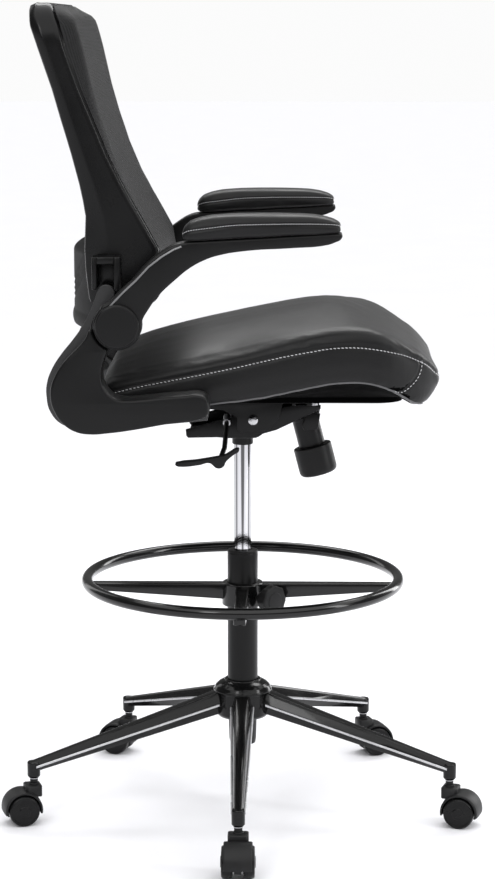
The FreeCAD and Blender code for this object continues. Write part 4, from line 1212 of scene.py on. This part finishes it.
# %% Cloth simulation of a filled cover
def filled_cover(bm, voxel, pressure, cap, frames=20):
    """Mesh of the swollen cover; bm is the sewn shape."""
    mesh = bpy.data.meshes.new("cover")
    bm.to_mesh(mesh)
    bm.free()
    cover = bpy.data.objects.new("cover", mesh)
    bpy.context.scene.collection.objects.link(cover)
    remesh = cover.modifiers.new("even", "REMESH")
    remesh.mode = "VOXEL"
    remesh.voxel_size = voxel * MM
    even = bpy.data.meshes.new_from_object(cover.evaluated_get(bpy.context.evaluated_depsgraph_get()))
    cover.modifiers.remove(remesh)
    cover.data = even
    start = [v.co.copy() for v in even.vertices]
    moved = start
    cloth = cover.modifiers.new("cloth", "CLOTH")
    cloth.settings.use_pressure = True
    cloth.settings.uniform_pressure_force = pressure
    cloth.settings.effector_weights.gravity = 0
    cloth.settings.tension_stiffness = cloth.settings.compression_stiffness = 30
    cloth.settings.bending_stiffness = 2.0
    cloth.point_cache.frame_end = frames
    for step in range(1, frames + 1):
        bpy.context.scene.frame_set(step)
    result = cover.evaluated_get(bpy.context.evaluated_depsgraph_get()).to_mesh()
    moved = [v.co.copy() for v in result.vertices]
    bpy.context.scene.frame_set(1)
    swollen = bmesh.new()
    swollen.from_mesh(even)
    swollen.verts.ensure_lookup_table()
    furthest = 0.0
    for vert, before, after in zip(swollen.verts, start, moved):
        step = after - before
        furthest = max(furthest, step.length)
        if step.length > cap * MM:
            step = step.normalized() * cap * MM
        vert.co = before + step
    bpy.data.objects.remove(cover)
    bmesh.ops.smooth_vert(swollen, verts=swollen.verts, factor=0.5, use_axis_x=True, use_axis_y=True,
                          use_axis_z=True)
    bmesh.ops.subdivide_edges(swollen, edges=swollen.edges[:], cuts=1, use_grid_fill=True, smooth=0.6)
    print("cover swelled by up to", round(furthest / MM, 1), "mm,", len(swollen.faces), "faces")
    return swollen


seat = filled_cover(bm, 6.0, 2.0, 3.0)

# %% [markdown]
# ## Seams and stitches
# Seams come after the filling. A seam is a line laid on the cover: the cover is pulled in beneath it, and
# short pale stitches follow it at one side.

# %% Lines on a surface
def along(points, step):
    """The polyline resampled at a steady step."""
    result = [Vector(points[0])]
    left = step
    for a, b in zip(points, points[1:]):
        a, b = Vector(a), Vector(b)
        length = (b - a).length
        reach = left
        while reach < length:
            result.append(a.lerp(b, reach / length))
            reach += step
        left = reach - length
    return result


def curved(points, rounds=3):
    """Corner-cutting: the polyline becomes a smooth line through the middle of its pieces."""
    line = [Vector(p) for p in points]
    for _ in range(rounds):
        cut = [line[0]]
        for a, b in zip(line, line[1:]):
            cut += [a.lerp(b, 0.25), a.lerp(b, 0.75)]
        line = cut + [line[-1]]
    return line


def laid_on(bm, points, step=1.0):
    """Pairs of point and outward normal along a line laid on the surface."""
    tree = BVHTree.FromBMesh(bm)
    result = []
    for point in along([p * MM for p in curved(points)], step * MM):
        spot, normal, _, _ = tree.find_nearest(point)
        result.append((spot, normal))
    return result


def pull_in(bm, line, width, depth):
    """Draws the surface in under a seam."""
    tree = KDTree(len(line))
    for k, (spot, _) in enumerate(line):
        tree.insert(spot, k)
    tree.balance()
    bm.normal_update()
    for vert in bm.verts:
        _, _, reach = tree.find(vert.co)
        if reach < width * MM:
            vert.co -= vert.normal * depth * MM * (1 - (reach / (width * MM)) ** 2) ** 2


def stitch_row(bm, line, aside, length=4.0, gap=1.8, thick=0.65, lift=0.1):
    """A row of short slanted stitches beside a seam."""
    every = max(2, round(length + gap))
    reach = max(1, round(length))
    for k in range(0, len(line) - reach, every):
        (a, na), (b, nb) = line[k], line[k + reach]
        normal = (na + nb).normalized()
        forward = (b - a).normalized()
        across = forward.cross(normal).normalized()
        a = a + across * (aside - 0.3) * MM + normal * lift * MM
        b = b + across * (aside + 0.3) * MM + normal * lift * MM
        rings = []
        for t, size in ((0.0, 0.25), (0.18, 0.9), (0.5, 1.0), (0.82, 0.9), (1.0, 0.25)):
            middle = a.lerp(b, t) + normal * (0.35 * thick * MM * math.sin(math.pi * t))
            rings.append([middle
                          + (across * math.cos(turn) + normal * 0.8 * math.sin(turn)) * thick * size * MM
                          for turn in (math.tau * i / 6 for i in range(6))])
        loft(bm, rings)


def cord(bm, line, radius, sink=0.0):
    """A thin round cord laid on a line, such as piping."""
    rings = []
    for k, (spot, normal) in enumerate(line[::5]):
        ahead = line[min(5 * k + 5, len(line) - 1)][0] - line[max(5 * k - 5, 0)][0]
        across = ahead.normalized().cross(normal).normalized()
        rings.append([spot - normal * sink * MM + (across * math.cos(math.tau * i / 8)
                                                  + normal * math.sin(math.tau * i / 8)) * radius * MM
                      for i in range(8)])
    loft(bm, rings)


# %% Seams of the seat
def both_sides(points):
    """The same line on the right and, mirrored, on the left."""
    return [[(x, side * y, z) for x, y, z in points] for side in (-1, 1)]


side_seam = [(x, 0.994 * half, seam) for x, _, seam, _, half in seat_stations if -200 < x < 300]
front_seam = [(302, 170, 751), (308, 161, 744), (311, 145, 741), (311, 70, 741), (311, 0, 741)]
rear_seam = [(-208, 235, 720), (-213, 215, 718), (-215, 120, 718), (-215, 0, 718)]
corner_seam = [(279, 198, 769), (279, 199, 760), (273, 204, 746), (262, 212, 733), (250, 221, 723),
               (240, 230, 717)]
fold = [(x, 0.92 * half, seam + 19) for x, _, seam, _, half in seat_stations if -190 < x < 280]
lower_edge = [(x, 0.955 * half, low) for x, low, _, _, half in seat_stations if -200 < x < 290]
main_seams = both_sides(rear_seam[::-1] + side_seam + front_seam)
seams = [laid_on(seat, line) for line in main_seams]
corners = [laid_on(seat, line) for line in both_sides(corner_seam)]
folds = [laid_on(seat, line) for line in both_sides(fold)]
edges = [laid_on(seat, line) for line in both_sides(lower_edge)]
for line in seams + corners:
    pull_in(seat, line, 6.0, 1.8)
for line in folds:
    pull_in(seat, line, 13.0, 1.1)

# %% Sewing and piping of the seat
sewing = bmesh.new()
piping = bmesh.new()
for side, line in zip((-1, 1), seams):
    stitch_row(sewing, line, -side * 2.8, lift=0.0)
for side, line in zip((-1, 1), corners):
    stitch_row(sewing, line, side * 2.4, lift=0.0)
for line in edges:
    cord(piping, line, 1.9)


def padded_piece(cover, trims, name, material):
    """Joins a cover with its trims: each trim is a mesh with its own finish."""
    piece = finish_mesh(cover, name, material, sharp=80)
    whole = bmesh.new()
    whole.from_mesh(piece.data)
    for k, (trim, finish) in enumerate(trims):
        bmesh.ops.recalc_face_normals(trim, faces=trim.faces)
        for face in trim.faces:
            face.material_index = k + 1
            face.smooth = True
        gather(whole, trim)
        piece.data.materials.append(finish)
    whole.to_mesh(piece.data)
    whole.free()
    return piece


# The base behind the lip is closed with a dull dust cover. It is the seat's fourth finish.
LIP_START = 262 * MM
DUST_COVER_HALF = 225 * MM
seat.normal_update()
for face in seat.faces:
    middle = face.calc_center_median()
    if face.normal.z < -0.4 and middle.x < LIP_START and abs(middle.y) < DUST_COVER_HALF:
        face.material_index = 3
seat_piece = padded_piece(seat, [(sewing, THREAD), (piping, PIPING)], "seat_cushion", LEATHER)
seat_piece.data.materials.append(DUST_COVER)
place(seat_piece, "seat", "leatherette", "seat_cushion")
print("seat done")

# %% [markdown]
# ## Arm pads
# Each pad is a long soft block with a flat underside. A seam with a row of stitches runs round it, two
# fifths of the way down.

# %% Pads
# x, underside, seam, top, half width
pad_stations = [
    (-83.5, 964.5, 971, 977, 21), (-80, 963, 974, 984, 25), (-72, 962.6, 977, 991, 28.5),
    (-58, 963.3, 979, 996, 30.5), (-40, 964.2, 981, 999.5, 31), (-9, 966, 985, 1001.5, 31),
    (20, 967.4, 986, 1002, 31), (56, 969.4, 987, 1002, 31), (90, 971.2, 987, 1001.5, 31),
    (111, 972.3, 987, 1000.5, 30.5), (128, 973.1, 986.5, 998, 29), (140, 973.8, 986, 994.5, 27),
    (148, 974.6, 985, 990.5, 24), (152, 976, 983, 986.5, 20.5)]


PAD_MIDDLE = 295


def pad_ring(x, low, seam, top, half):
    """Cross-section of a pad: flat below, full side border, seam, crowned panel."""
    right = [(-0.5, low), (-0.86, low), (-0.965, low + 0.16 * (seam - low)), (-1.0, low + 0.5 * (seam - low)),
             (-0.995, seam - 0.12 * (seam - low)), (-0.975, seam), (-0.965, seam + 0.15 * (top - seam)),
             (-0.915, seam + 0.5 * (top - seam)), (-0.8, seam + 0.76 * (top - seam)),
             (-0.6, seam + 0.91 * (top - seam)), (-0.35, seam + 0.98 * (top - seam)), (-0.1, top)]
    ring = right + [(-u, z) for u, z in right[::-1]]
    return [(x * MM, (PAD_MIDDLE + half * u) * MM, z * MM) for u, z in ring]


def pad_piece(name, side):
    bm = bmesh.new()
    loft(bm, [pad_ring(*row) for row in pad_stations])
    bmesh.ops.recalc_face_normals(bm, faces=bm.faces)
    cover = filled_cover(bm, 3.5, 3.0, 1.6)
    for vert in cover.verts:
        floor = (962.4 + 0.0538 * (vert.co.x / MM + 74)) * MM
        vert.co.z = max(vert.co.z, floor)
    rim = [(x, PAD_MIDDLE + 0.98 * half, seam) for x, _, seam, _, half in pad_stations]
    far = [(x, PAD_MIDDLE - 0.98 * half, seam) for x, _, seam, _, half in pad_stations[::-1]]
    front_end = [(156, PAD_MIDDLE + 10, 983), (156, PAD_MIDDLE - 10, 983)]
    rear_end = [(-87, PAD_MIDDLE - 10, 972), (-87, PAD_MIDDLE + 10, 972)]
    seam = laid_on(cover, rim + front_end + far + rear_end + rim[:1])
    pull_in(cover, seam, 3.6, 1.1)
    sewing = bmesh.new()
    stitch_row(sewing, seam, 1.6, length=2.8, gap=1.2, thick=0.45, lift=-0.2)
    if side < 0:
        for part in (cover, sewing):
            bmesh.ops.scale(part, vec=(1, -1, 1), verts=part.verts)
            bmesh.ops.reverse_faces(part, faces=part.faces)
    return padded_piece(cover, [(sewing, THREAD)], f"arm pad {name}".replace(" ", "_"), PAD_LEATHER)


for name, side in SIDES:
    pad = place(pad_piece(name, side), f"arm_{name}", "leatherette", f"arm_pad_{name}")

# %% [markdown]
# The mesh is cloth stretched over the frame's rim.

# %% [markdown]
# # What stays inside
# Springs, bolts, the rod and the seat board are hardly seen. They keep their fixed shape and get a finish.

# %% Finishes for the parts kept as they are
kept_finishes = {
    "piston_rod": ZINC, "rod_bearing": ZINC, "tilt_spring": ZINC, "valve_rocker": ZINC, "seat_bolts": ZINC,
    "bracket_bolts": MECHANISM_PAINT, "seat_board": DUST_COVER}
for node, finish in kept_finishes.items():
    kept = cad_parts[node]
    kept.data.materials.clear()
    kept.data.materials.append(finish)

# %% [markdown]
# # Floor and light
# A pale floor runs to a pale surrounding, and five large soft lamps give the long highlights that show
# the curves of black parts.

# %% Studio floor
bm = bmesh.new()
bmesh.ops.create_grid(bm, x_segments=1, y_segments=1, size=40)
FLOOR = make_finish("studio paper", 0.86, 0.88, 0.7, 0.8, drift=3, grain=400, cells=0.0, depth=0.01)
floor = finish_mesh(bm, "studio floor", FLOOR)


# %% Soft lamps
def soft_lamp(name, place_at, aim, size, watts):
    lamp = bpy.data.lights.new(name, "AREA")
    lamp.shape = "RECTANGLE"
    lamp.size, lamp.size_y = size
    lamp.energy = watts
    holder = bpy.data.objects.new(name, lamp)
    holder.location = place_at
    holder.rotation_euler = (Vector(aim) - Vector(place_at)).to_track_quat("-Z", "Y").to_euler()
    bpy.context.scene.collection.objects.link(holder)


soft_lamp("overhead", (0.2, 2.4, 3.3), (0, 0, 0.8), (3.0, 1.0), 52)
soft_lamp("rear left", (-2.1, 2.3, 1.5), (0, 0, 0.8), (0.7, 2.4), 7)
soft_lamp("rear right", (2.3, 2.3, 1.4), (0, 0, 0.7), (0.7, 2.4), 30)
soft_lamp("camera side", (-1.5, -3.4, 2.8), (0, 0, 0.8), (0.8, 1.6), 26)
soft_lamp("front side", (2.8, -0.9, 1.5), (0, 0, 0.7), (0.5, 2.0), 26)

# %% [markdown]
# A wide, soft light from straight above keeps the floor evenly pale as far as it can be seen.

# %% Sky light
sky = bpy.data.lights.new("sky", "SUN")
sky.energy = 3.35
sky.angle = math.radians(110)
sky_holder = bpy.data.objects.new("sky", sky)
sky_holder.rotation_euler = (math.radians(14), math.radians(6), 0)
bpy.context.scene.collection.objects.link(sky_holder)

world = bpy.data.worlds.new("studio")
bpy.context.scene.world = world
world.use_nodes = True
tree = world.node_tree
surroundings = tree.nodes["Background"]
surroundings.inputs["Color"].default_value = (1, 1, 1, 1)
surroundings.inputs["Strength"].default_value = 0.16
backdrop = tree.nodes.new("ShaderNodeBackground")
backdrop.inputs["Color"].default_value = (1, 1, 1, 1)
backdrop.inputs["Strength"].default_value = 0.97
seen = tree.nodes.new("ShaderNodeLightPath")
choose = tree.nodes.new("ShaderNodeMixShader")
link(tree, seen.outputs["Is Camera Ray"], choose.inputs["Fac"])
link(tree, surroundings.outputs["Background"], choose.inputs[1])
link(tree, backdrop.outputs["Background"], choose.inputs[2])
link(tree, choose.outputs["Shader"], tree.nodes["World Output"].inputs["Surface"])
bpy.context.scene.view_settings.view_transform = "Standard"
